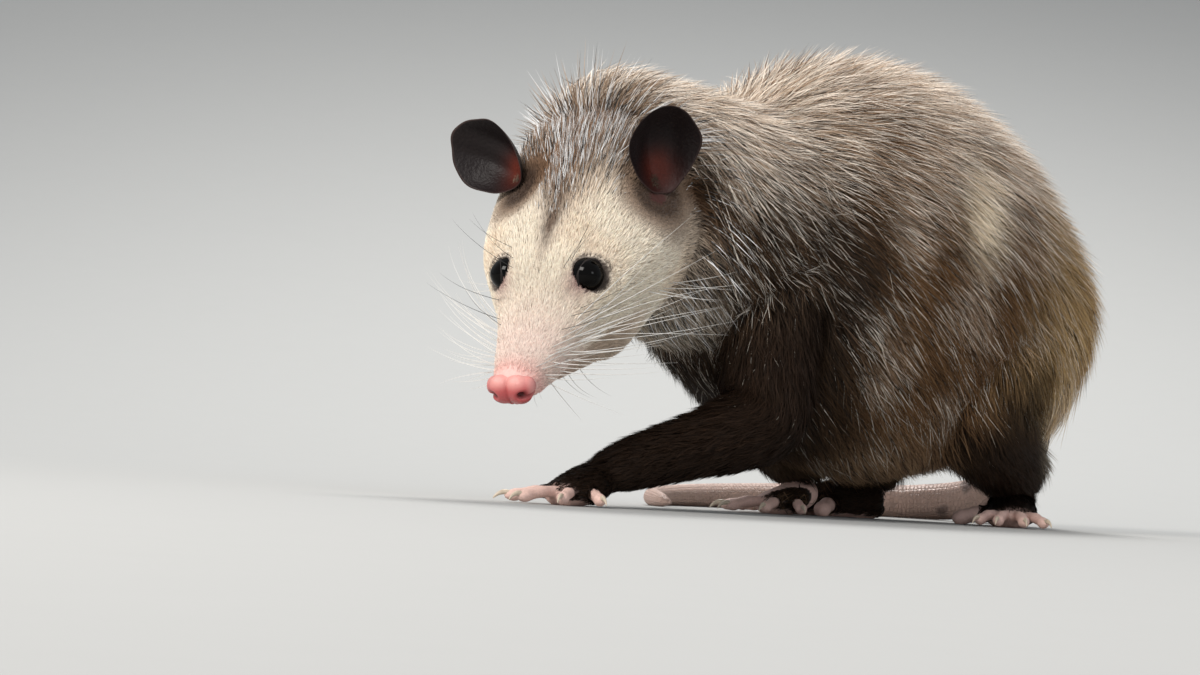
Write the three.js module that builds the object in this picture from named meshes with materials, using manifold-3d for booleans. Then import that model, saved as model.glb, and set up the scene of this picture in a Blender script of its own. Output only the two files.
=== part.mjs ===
import * as THREE from "three";
import { mergeVertices } from "three/addons/utils/BufferGeometryUtils.js";
import Module from "manifold-3d";

// A Virginia opossum at life size, walking with its head low and its back arched.
// Millimetres, +Z up. +X is the way it walks and +Y is its left side; its feet stand on z = 0.

const wasm = await Module();
wasm.setup();

// Driving sizes

const GAP = 0.35; // clear space between two nodes that touch
const SUNK = 0.9; // how deep pads and tail press below the floor before they are cut flat
const COAT_BACK = 30; // depth of the coat, from the skin to the tips of the locks
const COAT_FLANK = 21;
const COAT_BELLY = 17;
const CORE_SHARE = 0.42; // the closed core of the coat reaches this share of the way to the tips
const NECK_CORE = 9; // depth of the core of the neck's coat
const SHORT_FUR = 2.5; // the flat fur of face, legs and feet
const TURN = Math.PI / 180;

const HEAD_AT = new THREE.Vector3(186, 20, 103); // the point midway between the eyes
const HEAD_YAW = 25 * TURN; // turned to its left
const HEAD_PITCH = 43.5 * TURN; // nose down
const HEAD_ROLL = 1.5 * TURN; // left side a little higher

// Materials

const finish = (color, roughness) => new THREE.MeshStandardMaterial({ color, roughness, metalness: 0 });
const FACE_FUR = finish(0xe9e2d8, 0.9);
const COAT = finish(0x8a7d72, 0.95);
const LEG_FUR = finish(0x1c1513, 0.9);
const EAR_SKIN = finish(0x120c0b, 0.6);
const NOSE_SKIN = finish(0xe08a8a, 0.45);
const EYE = finish(0x050505, 0.05);
const TOE_SKIN = finish(0xd9a99c, 0.6);
const CLAW = finish(0xe6dcc0, 0.35);
const TAIL_DARK = finish(0x241c1a, 0.7);
const TAIL_PALE = finish(0xd3b3a4, 0.65);

// Forms: closed surfaces swept along a line of stations

// A smooth value through (keys, values); ends of places are level, so that a form closes round.
function smooth(keys, values, x, levelEnds) {
  const last = keys.length - 1;
  let k = 0;
  while (k < last - 1 && x > keys[k + 1]) k++;
  const slope = (i) => {
    if (i === 0) return levelEnds ? 0 : (1.3 * (values[1] - values[0])) / (keys[1] - keys[0]);
    if (i === last) return levelEnds ? 0 : (1.3 * (values[last] - values[last - 1])) / (keys[last] - keys[last - 1]);
    return (values[i + 1] - values[i - 1]) / (keys[i + 1] - keys[i - 1]);
  };
  const span = keys[k + 1] - keys[k];
  const t = (x - keys[k]) / span;
  const t2 = t * t;
  const t3 = t2 * t;
  return (
    (2 * t3 - 3 * t2 + 1) * values[k] +
    (t3 - 2 * t2 + t) * span * slope(k) +
    (3 * t2 - 2 * t3) * values[k + 1] +
    (t3 - t2) * span * slope(k + 1)
  );
}

// stations: [x, y, z, half width, half height above, half height below], the first and last with no size.
// point(turn, angle, grow): turn runs 0 to PI from the first pole to the last, angle goes round the section.
function surfaceOf(stations, side = new THREE.Vector3(0, 1, 0)) {
  const spots = stations.map((s) => new THREE.Vector3(s[0], s[1], s[2]));
  const travelled = [0];
  spots.slice(1).forEach((p, i) => travelled.push(travelled[i] + p.distanceTo(spots[i])));
  const total = travelled[travelled.length - 1];
  const keys = travelled.map((d) => Math.acos(1 - (2 * d) / total));
  const column = (c) => stations.map((s) => s[c] ?? s[c - 1]);
  const columns = [0, 1, 2, 3, 4, 5].map(column);
  const centre = (turn) =>
    new THREE.Vector3(...[0, 1, 2].map((c) => smooth(keys, columns[c], turn, true)));
  let upright = 1;
  const frameAt = (turn) => {
    const step = 0.04;
    const ahead = centre(Math.min(Math.PI, turn + step));
    const tangent = ahead.sub(centre(Math.max(0, turn - step))).normalize();
    const across = side.clone().addScaledVector(tangent, -side.dot(tangent)).normalize();
    const up = new THREE.Vector3().crossVectors(across, tangent).multiplyScalar(upright);
    return { tangent, across, up };
  };
  if (frameAt(Math.PI / 2).up.z < -0.05) upright = -1;
  const point = (turn, angle, grow = 0) => {
    const { tangent, across, up } = frameAt(turn);
    const [wide, above, below] = [3, 4, 5].map((c) => Math.max(LEAST, smooth(keys, columns[c], turn, false)));
    const high = Math.sin(angle) > 0 ? above : below;
    const round = Math.sin(turn);
    const place = centre(turn);
    place.addScaledVector(across, Math.cos(angle) * (wide + grow * round));
    place.addScaledVector(up, Math.sin(angle) * (high + grow * round));
    return place.addScaledVector(tangent, -grow * Math.cos(turn));
  };
  return { point, centre, frameAt, total };
}
const LEAST = 0.15; // a section never closes before its pole

// The closed mesh of a surface: a sphere whose rows and columns are laid on it.
function form(surface, around, along, grow = 0) {
  const shape = new THREE.SphereGeometry(1, around, along);
  const spots = shape.getAttribute("position");
  for (let row = 0; row <= along; row++) {
    for (let col = 0; col <= around; col++) {
      const angle = row % along ? (2 * Math.PI * (col % around)) / around : 0;
      const turn = (Math.PI * row) / along;
      const p = surface.point(turn, angle, typeof grow === "function" ? grow(turn, angle) : grow);
      spots.setXYZ(row * (around + 1) + col, p.x, p.y, p.z);
    }
  }
  return closed(shape);
}

function closed(shape) {
  shape.deleteAttribute("normal");
  shape.deleteAttribute("uv");
  return mergeVertices(shape, 1e-4);
}

const sweep = (stations, around, along, side, grow) => form(surfaceOf(stations, side), around, along, grow);

function ball(x, y, z, rx, ry = rx, rz = rx, around = 12, along = 8) {
  return closed(new THREE.SphereGeometry(1, around, along).rotateX(Math.PI / 2).scale(rx, ry, rz).translate(x, y, z));
}

// Joins and cuts

function solid(geometry, place) {
  const shape = place ? geometry.clone().applyMatrix4(place) : geometry;
  const triVerts = new Uint32Array(shape.index.array);
  const vertProperties = new Float32Array(shape.getAttribute("position").array);
  const made = new wasm.Manifold(new wasm.Mesh({ numProp: 3, vertProperties, triVerts }));
  if (made.volume() > 0) return made;
  for (let i = 0; i < triVerts.length; i += 3) [triVerts[i + 1], triVerts[i + 2]] = [triVerts[i + 2], triVerts[i + 1]];
  return new wasm.Manifold(new wasm.Mesh({ numProp: 3, vertProperties, triVerts }));
}

// The same mesh grown by a distance: each vertex moves so that all the faces round it move out alike.
function swollen(geometry, by = GAP) {
  const shape = geometry.clone();
  const spots = shape.getAttribute("position");
  const corner = [0, 1, 2].map(() => new THREE.Vector3());
  const edge = [new THREE.Vector3(), new THREE.Vector3()];
  const planes = Array.from({ length: spots.count }, () => [0, 0, 0, 0, 0, 0, 0, 0, 0]);
  for (let i = 0; i < shape.index.count; i += 3) {
    corner.forEach((c, k) => c.fromBufferAttribute(spots, shape.index.getX(i + k)));
    edge[0].subVectors(corner[1], corner[0]);
    edge[1].subVectors(corner[2], corner[0]);
    const n = edge[0].cross(edge[1]).normalize();
    for (let k = 0; k < 3; k++) {
      const sum = planes[shape.index.getX(i + k)];
      [n.x * n.x, n.x * n.y, n.x * n.z, n.y * n.y, n.y * n.z, n.z * n.z, n.x, n.y, n.z].forEach((v, j) => (sum[j] += v));
    }
  }
  const sign = signedVolume(shape) < 0 ? -by : by;
  const solve = new THREE.Matrix3();
  planes.forEach(([xx, xy, xz, yy, yz, zz, x, y, z], i) => {
    solve.set(xx + STEADY, xy, xz, xy, yy + STEADY, yz, xz, yz, zz + STEADY).invert();
    const move = new THREE.Vector3(x, y, z).applyMatrix3(solve).clampLength(0, SHARPEST).multiplyScalar(sign);
    spots.setXYZ(i, spots.getX(i) + move.x, spots.getY(i) + move.y, spots.getZ(i) + move.z);
  });
  return shape;
}
const STEADY = 0.004; // keeps the sum of planes solvable where they are all one plane
const SHARPEST = 3; // the most that a sharp edge moves, in times the distance

function signedVolume(shape) {
  const spots = shape.getAttribute("position");
  const corner = [0, 1, 2].map(() => new THREE.Vector3());
  let six = 0;
  for (let i = 0; i < shape.index.count; i += 3) {
    corner.forEach((c, k) => c.fromBufferAttribute(spots, shape.index.getX(i + k)));
    six += corner[0].dot(corner[1].clone().cross(corner[2]));
  }
  return six;
}

const joined = (pieces, place, by = 0) =>
  pieces.map((p) => solid(by ? swollen(p, by) : p, place)).reduce((all, one) => all.add(one));

function largest(made) {
  const bodies = made.decompose().sort((a, b) => b.volume() - a.volume());
  return bodies[0];
}

function geometryOf(made, place) {
  const data = made.getMesh();
  const geometry = new THREE.BufferGeometry();
  const spots = new Float32Array(data.numVert * 3);
  for (let i = 0; i < data.numVert; i++) {
    spots.set(data.vertProperties.subarray(i * data.numProp, i * data.numProp + 3), i * 3);
  }
  geometry.setAttribute("position", new THREE.BufferAttribute(spots, 3));
  geometry.setIndex(new THREE.BufferAttribute(data.triVerts, 1));
  if (place) geometry.applyMatrix4(place.clone().invert());
  geometry.computeVertexNormals();
  return geometry;
}

// A slab that takes away all below the floor.
const FLOOR_CUT = solid(closed(new THREE.BoxGeometry(1200, 1200, 100).translate(0, 0, -50)));

// Seeded variation

let seed = 7;
function vary(amount) {
  seed = (seed * 16807) % 2147483647;
  return 1 + amount * ((2 * seed) / 2147483647 - 1);
}

// Groups: the head and each foot are built straight, then turned into place

const animal = new THREE.Group();
const headGroup = new THREE.Group();
headGroup.position.copy(HEAD_AT);
headGroup.rotation.set(HEAD_ROLL, HEAD_PITCH, HEAD_YAW, "ZYX");
animal.add(headGroup);
const groups = [headGroup];

function footGroup(x, y, yaw) {
  const group = new THREE.Group();
  group.position.set(x, y, 0);
  group.rotation.z = yaw * TURN;
  animal.add(group);
  groups.push(group);
  return group;
}

const LEFT_HAND = footGroup(157, 20, 6);
const RIGHT_HAND = footGroup(-10, -19, -4);
const LEFT_FOOT = footGroup(-119, 26, 42);
const RIGHT_FOOT = footGroup(-48, -36, -30);
animal.updateMatrixWorld(true);
const HEAD_PLACE = headGroup.matrixWorld.clone();

// A point of the body frame from a point of the head's own frame.
const fromHead = (x, y, z) => new THREE.Vector3(x, y, z).applyMatrix4(HEAD_PLACE);

// Nodes: each holds the pieces that make it, and where they are placed

// also: parted takes a block away, kept keeps only what is in one, holes are cut, and floor cuts the
// node flat on the floor.

const nodes = [];
function node(name, material, pieces, group = animal, also = {}) {
  const place = group === animal ? null : group.matrixWorld.clone();
  nodes.push({ name, material, pieces, group, place, ...also });
}

// Locks: flat, tapered tufts that rise from the core of the coat and bend along its lie

// One lock follows the surface it grows on, from its root at (turn, angle) by (alongBy, roundBy).
// Its root is sunk below the core, and its tip stands at the full depth of the coat.
function lock(at, turn, angle, alongBy, roundBy, { depth, wide, thick }) {
  const spots = LOCK_STEPS.map(([step, lift]) => at(turn + alongBy * step, angle + roundBy * step, lift * depth));
  const out = at(turn, angle, 1).sub(at(turn, angle, 0));
  const side = new THREE.Vector3().crossVectors(out, spots[3].clone().sub(spots[1])).normalize();
  const stations = spots.map((p, i) => {
    const [, , w, h] = LOCK_STEPS[i];
    return [p.x, p.y, p.z, w * wide, h * thick, h * thick];
  });
  return sweep(stations, 4, 4, side);
}
// Each step: how far along, how high in the coat, how wide and how thick, as shares of the whole.
const LOCK_STEPS = [
  [-0.16, -0.35, 0, 0],
  [0.04, 0.12, 0.9, 1],
  [0.36, 0.5, 1, 0.95],
  [0.7, 0.8, 0.62, 0.7],
  [1, 1, 0, 0],
];

// True where a point lies inside a swept surface.
function buried(point, surface, grow) {
  for (let k = 1; k < 24; k++) {
    const turn = (Math.PI * k) / 24;
    const c = surface.centre(turn);
    const { tangent, across, up } = surface.frameAt(turn);
    const away = point.clone().sub(c);
    if (Math.abs(away.dot(tangent)) > surface.total / 24) continue;
    const wide = surface.point(turn, 0, grow).distanceTo(c);
    const high = surface.point(turn, Math.sign(away.dot(up)) * Math.PI * 0.5, grow).distanceTo(c);
    if ((away.dot(across) / wide) ** 2 + (away.dot(up) / high) ** 2 < 1) return true;
  }
  return false;
}

// Rows of locks over a surface. rows: each { turn, count, from, to } in degrees round the section.
// lie gives the share that runs down the sides, the rest runs lengthwise in the sense of heading.
function coat(surface, rows, core, { heading, lie, size, hidden = () => false }) {
  const locks = [];
  const at = (turn, angle, high) => {
    const t = Math.min(Math.max(turn, FIRST_TURN), Math.PI - FIRST_TURN);
    return surface.point(t, angle, core(t, angle) + high);
  };
  rows.forEach(({ turn, count, from, to }, r) => {
    for (let k = 0; k < count; k++) {
      const share = (k + 0.5 + (r % 2 ? 0.25 : -0.25)) / count;
      const angle = (from + (to - from) * share) * TURN + (vary(1) - 1) * 0.05;
      const along = turn + (vary(1) - 1) * 0.05;
      const { length, depth, wide, thick } = size(along, angle);
      const perTurn = at(along + 0.03, angle, 0).distanceTo(at(along - 0.03, angle, 0)) / 0.06;
      const perAngle = at(along, angle + 0.05, 0).distanceTo(at(along, angle - 0.05, 0)) / 0.1;
      if (hidden(at(along, angle, 0))) continue;
      const down = lie(along, angle) + (vary(1) - 1) * 0.12;
      const alongBy = (heading * length * Math.sqrt(Math.max(0, 1 - down * down))) / perTurn;
      const roundBy = (-Math.sign(Math.cos(angle)) * length * down) / perAngle;
      locks.push(lock(at, along, angle, alongBy, roundBy, { depth, wide, thick }));
    }
  });
  return locks;
}
const FIRST_TURN = 0.2; // locks keep this far from the poles

const lockSize = (length, depth, wide, thick) => ({
  length: length * vary(0.16),
  depth: depth * vary(0.12),
  wide: wide * vary(0.12),
  thick,
});

// Head, in its own frame: x' towards the nose, z' towards the crown, origin between the eyes

const HEAD_STATIONS = [
  [62, 0, -18, 0, 0, 0],
  [59, 0, -18, 8, 6.5, 8],
  [47, 0, -17, 11.5, 9, 12.5],
  [30, 0, -15, 17, 12, 20],
  [14, 0, -12, 22, 15, 27],
  [0, 0, -9, 28, 19, 34],
  [-20, 0, -8, 38, 25, 38],
  [-42, 0, -8, 46, 30, 40],
  [-60, 0, -9, 46, 31, 36],
  [-80, 0, -13, 32, 26, 28],
  [-94, 0, -16, 0, 0, 0],
];
const headSurface = surfaceOf(HEAD_STATIONS);
const headForm = form(headSurface, 18, 14, SHORT_FUR);

const EYE_AHEAD = 2;
const EYE_SIDE = 19.2;
const EYE_UP = 0;
const EYE_RADIUS = 7.6;
const EYE_LOOK = [0.42, 0.86, 0.28]; // towards the front, the side and up

function eyeBall(side) {
  return ball(EYE_AHEAD, side * EYE_SIDE, EYE_UP, EYE_RADIUS, EYE_RADIUS, EYE_RADIUS, 10, 8);
}

// The rims of the lids: a ring that stands round the bare part of the eye.
function lids(side) {
  const ring = new THREE.TorusGeometry(6.6, 1.6, 4, 12);
  const facing = new THREE.Vector3(EYE_LOOK[0], side * EYE_LOOK[1], EYE_LOOK[2]).normalize();
  ring.applyQuaternion(new THREE.Quaternion().setFromUnitVectors(new THREE.Vector3(0, 0, 1), facing));
  ring.translate(EYE_AHEAD, side * EYE_SIDE, EYE_UP);
  ring.translate(facing.x * LID_STAND, facing.y * LID_STAND, facing.z * LID_STAND);
  return closed(ring);
}
const LID_STAND = 3.2; // how far the ring lies out from the middle of the eye

// The upper lip: a low roll above the line of the mouth, one on each side.
function lip(side) {
  return sweep(
    [
      [57, side * 3, -24.5, 0, 0, 0],
      [50, side * 10.4, -24.2, 1.8, 1.8],
      [31, side * 17.6, -24, 2.2, 2.0],
      [14, side * 23, -24.4, 2.2, 2.0],
      [2, side * 27.4, -24.6, 0, 0, 0],
    ],
    5,
    6,
    new THREE.Vector3(0, 0, 1),
  );
}

// The side of the jaw: everything below the line of the mouth and in front of its corner.
const mouth = new THREE.Shape();
mouth.moveTo(70, -26.2);
mouth.lineTo(45, -26.4);
mouth.lineTo(20, -26.6);
mouth.lineTo(1, -27.2);
mouth.lineTo(-16, -80);
mouth.lineTo(70, -80);
mouth.closePath();
const jawBlock = (by) => {
  const block = new THREE.ExtrudeGeometry(mouth, { depth: 90, bevelEnabled: false });
  return closed(block.rotateX(Math.PI / 2).translate(0, 45, by));
};

// Each ear is turned its own way: root in the head, along to the tip, facing out of its cup.
const EARS = {
  left: { root: [-51, 37, 5], along: [-0.32, 0.17, 0.93], facing: [0.75, 0.6, 0.1] },
  right: { root: [-45, -25, 16], along: [-0.5, -0.84, 0.26], facing: [0.85, -0.1, 0.5] },
};
const EAR_LENGTH = 44;
const EAR_WIDTH = 34;
const EAR_CUP = 12;
const EAR_THICK = 1.5;

// A cupped leaf, its rim round and its root drawn in.
function ear({ root, along, facing }) {
  const length = new THREE.Vector3(...along).normalize();
  const front = new THREE.Vector3(...facing);
  front.addScaledVector(length, -front.dot(length)).normalize();
  const across = new THREE.Vector3().crossVectors(length, front).normalize();
  const rows = 8;
  const around = 16;
  const half = EAR_THICK / 2;
  const shape = new THREE.SphereGeometry(1, around, rows);
  const spots = shape.getAttribute("position");
  for (let row = 0; row <= rows; row++) {
    const outer = row <= rows / 2;
    const share = (outer ? row : rows - row) / (rows / 2);
    for (let col = 0; col <= around; col++) {
      const angle = (2 * Math.PI * (col % around)) / around;
      const reach = 0.5 + 0.5 * share * Math.cos(angle);
      const narrow = 0.62 + 0.38 * Math.sin(Math.min(1, reach * 1.25) * Math.PI * 0.62);
      const wide = (share * Math.sin(angle) * EAR_WIDTH * narrow) / 2;
      const bowl = -EAR_CUP * (1 - share ** 2.2) * (1.25 - 0.5 * reach);
      const skin = (outer ? -half : half) * (share === 1 ? 0 : 1) + 2.5 * share * share * Math.cos(angle);
      const p = new THREE.Vector3(...root);
      p.addScaledVector(length, reach * EAR_LENGTH);
      p.addScaledVector(across, wide);
      p.addScaledVector(front, bowl + skin + EAR_CUP / 2);
      spots.setXYZ(row * (around + 1) + col, p.x, p.y, p.z);
    }
  }
  return closed(shape);
}

function nosePad() {
  const pad = ball(59, 0, -18, 5.2, 10.8, 7, 8, 6);
  const lobes = [1, -1].map((s) => ball(60.6, s * 4.6, -17.6, 4.8, 5.4, 5.8, 7, 5));
  return [pad, ...lobes];
}
const nostrils = [1, -1].map((s) => ball(63, s * 8.2, -17, 3.2, 1.9, 2.4, 6, 5));

node("eye_left", EYE, [eyeBall(1)], headGroup);
node("eye_right", EYE, [eyeBall(-1)], headGroup);
node("nose", NOSE_SKIN, nosePad(), headGroup, { holes: nostrils });

// The crown's raised tufts, between the ears.
const crownRows = [1.85, 2.12, 2.4].map((turn) => ({ turn, count: 5, from: 32, to: 148 }));
const crownLocks = coat(headSurface, crownRows, () => SHORT_FUR, {
  heading: 1,
  lie: () => 0.15,
  size: () => lockSize(30, 14, 7, 1.5),
});
const headPieces = [headForm, lids(1), lids(-1), lip(1), lip(-1), ...crownLocks];
node("head", FACE_FUR, headPieces, headGroup, { parted: jawBlock(GAP) });
node("jaw", FACE_FUR, [headForm], headGroup, { kept: jawBlock(0) });
for (const [side, set] of Object.entries(EARS)) {
  node(`ear_${side}`, EAR_SKIN, [ear(set)], headGroup);
}

// Neck: from between the shoulders to the back of the skull

const nape = fromHead(-70, 0, -6);
const NECK_STATIONS = [
  [36, 2, 132, 0, 0, 0],
  [54, 3, 132, 40, 44, 44],
  [86, 5, 134, 43, 49, 52],
  [nape.x - 20, nape.y - 2, nape.z - 2, 41, 44, 52],
  [nape.x, nape.y, nape.z, 37, 41, 44],
  [nape.x + 13, nape.y + 3, nape.z - 3, 0, 0, 0],
];
const neckSurface = surfaceOf(NECK_STATIONS);

// Torso: chest to rump, high in the loins

const TORSO_STATIONS = [
  [94, 0, 102, 0, 0, 0],
  [84, 0, 105, 31, 36, 36],
  [58, 0, 115, 44, 61, 60],
  [20, 0, 120, 53, 78, 80],
  [-22, 0, 121, 57, 84, 89],
  [-62, 0, 114, 55, 77, 86],
  [-98, 0, 100, 49, 60, 70],
  [-126, 0, 85, 40, 42, 46],
  [-142, 0, 74, 0, 0, 0],
];
const torsoSurface = surfaceOf(TORSO_STATIONS);

// The coat is deepest on the back and thinner down the flanks to the belly.
function coatDepth(angle) {
  const high = Math.sin(angle);
  return high > 0 ? COAT_FLANK + (COAT_BACK - COAT_FLANK) * high : COAT_FLANK + (COAT_FLANK - COAT_BELLY) * high;
}
const coreDepth = (turn, angle) => CORE_SHARE * coatDepth(angle);

// Legs: each limb is a line of joints, thick at the body and thin at the wrist or ankle

function limb(points, sizes) {
  const first = points[0];
  const last = points[points.length - 1];
  const stations = points.map((p, i) => [...p, ...sizes[i]]);
  const reach = (from, to, by) => {
    const far = Math.hypot(...from.map((a, n) => a - to[n]));
    return from.map((v, k) => v + ((v - to[k]) * by) / far);
  };
  stations.unshift([...reach(first, points[1], sizes[0][0]), 0, 0, 0]);
  stations.push([...reach(last, points[points.length - 2], sizes[sizes.length - 1][0]), 0, 0, 0]);
  return surfaceOf(stations);
}
const LIMB_AROUND = 10;
const LIMB_ALONG = 8;

const ARMS = {
  left: { shoulder: [62, 30, 104], elbow: [72, 46, 42], wrist: [148, 22, 15] },
  right: { shoulder: [56, -30, 104], elbow: [26, -44, 78], wrist: [-13, -20, 19] },
};
const LEGS = {
  left: { hip: [-90, 24, 92], knee: [-72, 40, 54], ankle: [-135, 14, 24] },
  right: { hip: [-88, -24, 92], knee: [-38, -40, 62], ankle: [-70, -24, 24] },
};

const middle = (a, b, t = 0.5) => a.map((v, k) => v + (b[k] - v) * t);

// Hands: a broad palm and five spread digits, each with a small claw

const HAND = {
  palm: [[-12, 0, 13, 0, 0, 0], [-8, 0, 12, 8, 7], [6, 0, 8, 12, 6, 8.5], [17, 0, 5, 9.5, 4.5, 6], [21, 0, 4.5, 0, 0, 0]],
  spread: [-64, -31, 0, 31, 64],
  reach: [18, 22, 23, 21, 18],
  setBack: 0.13, // mm that a digit starts further back, per degree that it is turned out
};
const FOOT = {
  palm: [[-30, 0, 12, 0, 0, 0], [-25, 0, 11, 9, 9, 11], [-6, 0, 9, 11, 8, 9.5], [14, 0, 6, 12, 5, 7], [21, 0, 4.5, 0, 0, 0]],
  spread: [-24, -8, 9, 27],
  reach: [20, 23, 23, 20],
  setBack: 0,
  hallux: { x: -2, y: -7, yaw: -62, reach: 25, radius: 4.2 }, // the thumb-like inner toe, without a claw
};
const DIGIT_RADIUS = 3.2;
const CLAW_LENGTH = 7.5;
const PALM_FRONT = 14; // from the middle of the palm to the roots of the digits
const PALM_BULGE = 3; // how much further forward the middle digits leave it
const PALM_HALF = 9; // half the palm's width at those roots
const PALM_FAN = 64 * TURN; // the arc on which the roots lie

// One digit from the palm to its blunt tip, arched a little and resting on its pad.
function digit(startX, startY, yaw, reach, radius) {
  const dir = [Math.cos(yaw * TURN), Math.sin(yaw * TURN)];
  const at = (d, z, w, h = w, b = h) => [startX + dir[0] * d, startY + dir[1] * d, z, w, h, b];
  const side = new THREE.Vector3(-dir[1], dir[0], 0);
  return sweep(
    [
      at(-3.5, 5, 0, 0),
      at(0, 5.6, radius * 1.05),
      at(reach * 0.42, 5.2, radius * 0.95),
      at(reach * 0.85, 3.2, radius * 0.98, radius * 0.95, 3.2 + SUNK),
      at(reach, 2.6, 0, 0),
    ],
    5,
    5,
    side,
  );
}

// A curved claw that leaves the top of the digit's tip and points down and forward.
function claw(startX, startY, yaw, reach) {
  const dir = [Math.cos(yaw * TURN), Math.sin(yaw * TURN)];
  const at = (d, z, w, h = w) => [startX + dir[0] * (reach + d), startY + dir[1] * (reach + d), z, w, h];
  const side = new THREE.Vector3(-dir[1], dir[0], 0);
  return sweep([at(-4, 3.6, 0, 0), at(-2.6, 3.9, 1.1, 1.4), at(1.6, 3.6, 0.9, 1.2), at(CLAW_LENGTH - 2.6, 1.2, 0, 0)], 4, 5, side);
}

// A whole hand or foot. mirror is 1 on the left side and -1 on the right.
function extremity(name, plan, group, mirror) {
  const pieces = [sweep(plan.palm, 8, 6)];
  const claws = [];
  const widest = Math.max(...plan.spread);
  plan.spread.forEach((yaw, i) => {
    const startX = PALM_FRONT + PALM_BULGE * Math.cos(yaw * TURN) - plan.setBack * Math.abs(yaw);
    const startY = mirror * PALM_HALF * Math.sin((PALM_FAN * yaw) / widest);
    pieces.push(digit(startX, startY, mirror * yaw, plan.reach[i], DIGIT_RADIUS));
    claws.push(claw(startX, startY, mirror * yaw, plan.reach[i]));
  });
  if (plan.hallux) {
    const { x, y, yaw, reach, radius } = plan.hallux;
    pieces.push(digit(x, mirror * y, mirror * yaw, reach, radius));
  }
  claws.forEach((c, i) => node(`${name}_claw_${i + 1}`, CLAW, [c], group));
  node(name, TOE_SKIN, pieces, group, { floor: true });
}
extremity("hand_left", HAND, LEFT_HAND, 1);
extremity("hand_right", HAND, RIGHT_HAND, -1);
extremity("foot_left", FOOT, LEFT_FOOT, 1);
extremity("foot_right", FOOT, RIGHT_FOOT, -1);

// Tail: naked and scaly, down from the rump and forward along the far side on the floor

const TAIL_LINE = [
  [-136, 0, 76, 15],
  [-160, -5, 58, 13.5],
  [-174, -20, 34, 12],
  [-178, -48, 15, 10.6],
  [-164, -82, 9, 9.4],
  [-126, -108, 8, 8.2],
  [-78, -118, 7, 7],
  [-28, -114, 5.8, 5.9],
  [14, -96, 4.6, 4.7],
  [36, -66, 3.4, 3.4],
];
const TAIL_SPLIT_Y = -54; // the base ends where the tail has come down to the floor
const TAIL_SPLIT_X = -80; // the middle ends half way along the side
const tailSurface = surfaceOf(
  [[-122, 0, 84, 0, 0, 0], ...TAIL_LINE.map(([x, y, z, r]) => [x, y, z, r, r]), [36, -58, 2.2, 0, 0, 0]],
  new THREE.Vector3(0, 0, 1),
);
const tailForm = form(tailSurface, 9, 26);

// A block of space between two corners, for parting one form into lengths.
function block(low, high) {
  const size = high.map((v, k) => v - low[k]);
  const centre = high.map((v, k) => (v + low[k]) / 2);
  return closed(new THREE.BoxGeometry(...size).translate(...centre));
}
const FAR = 400;
const tailBlocks = {
  tail_base: [TAIL_DARK, block([-FAR, TAIL_SPLIT_Y, -FAR], [FAR, FAR, FAR])],
  tail_middle: [TAIL_PALE, block([-FAR, -FAR, -FAR], [TAIL_SPLIT_X, TAIL_SPLIT_Y - GAP, FAR])],
  tail_end: [TAIL_PALE, block([TAIL_SPLIT_X + GAP, -FAR, -FAR], [FAR, TAIL_SPLIT_Y - GAP, FAR])],
};
for (const [name, [material, kept]] of Object.entries(tailBlocks)) {
  node(name, material, [tailForm], animal, { kept, floor: true });
}

// The longer hair on the outer side of the upper arms, where the body's coat doesn't cover them.
function armCoat(surface, side) {
  const outward = side === "left" ? 0 : 180;
  const rows = [1.15, 1.8].map((turn) => ({ turn, count: 4, from: outward - 80, to: outward + 80 }));
  return coat(surface, rows, () => 0, {
    heading: 1,
    lie: () => 0.1,
    size: () => lockSize(36, 8, 6.5, 1.4),
    hidden: (root) => buried(root, torsoSurface, COAT_FLANK),
  });
}

for (const [side, { shoulder, elbow, wrist }] of Object.entries(ARMS)) {
  const lower = limb([elbow, middle(elbow, wrist), wrist], [[17, 16], [15, 14], [10, 9.5]]);
  const upper = limb([shoulder, middle(shoulder, elbow), elbow], [[20, 20], [19, 18], [16, 15]]);
  node(`forearm_${side}`, LEG_FUR, [form(lower, LIMB_AROUND, LIMB_ALONG)]);
  node(`upper_arm_${side}`, LEG_FUR, [form(upper, LIMB_AROUND, LIMB_ALONG), ...armCoat(upper, side)]);
}
for (const [side, { hip, knee, ankle }] of Object.entries(LEGS)) {
  const lower = limb([knee, middle(knee, ankle), ankle], [[21, 20], [18, 17], [12, 12]]);
  const upper = limb([hip, middle(hip, knee), knee], [[26, 26], [24, 25], [20, 20]]);
  node(`shank_${side}`, LEG_FUR, [form(lower, LIMB_AROUND, LIMB_ALONG)]);
  node(`thigh_${side}`, COAT, [form(upper, LIMB_AROUND, LIMB_ALONG)]);
}

// The body's coat sweeps back along the spine and turns down over the flanks.
const torsoRows = [0.62, 0.98, 1.34, 1.7, 2.06, 2.42].map((turn) => ({
  turn,
  count: Math.round(3 + 12 * Math.sin(turn)),
  from: -58,
  to: 238,
}));
const torsoLocks = coat(torsoSurface, torsoRows, coreDepth, {
  heading: 1,
  lie: (turn, angle) => 0.85 * Math.abs(Math.cos(angle)) ** 0.7,
  size: (turn, angle) => {
    const depth = (1 - CORE_SHARE) * coatDepth(angle);
    return lockSize(62, depth, 10, 1.7);
  },
  hidden: (root) => buried(root, neckSurface, NECK_CORE),
});

const neckRows = [1.15, 1.75, 2.3].map((turn) => ({ turn, count: 11, from: -75, to: 255 }));
const neckLocks = coat(neckSurface, neckRows, () => NECK_CORE, {
  heading: -1,
  lie: (turn, angle) => 0.6 * Math.abs(Math.cos(angle)),
  size: () => lockSize(44, 13, 8.5, 1.6),
  hidden: (root) => buried(root, torsoSurface, COAT_FLANK / 2),
});

node("neck", COAT, [form(neckSurface, 16, 8, NECK_CORE), ...neckLocks]);
node("torso", COAT, [form(torsoSurface, 20, 13, coreDepth), ...torsoLocks]);

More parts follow.
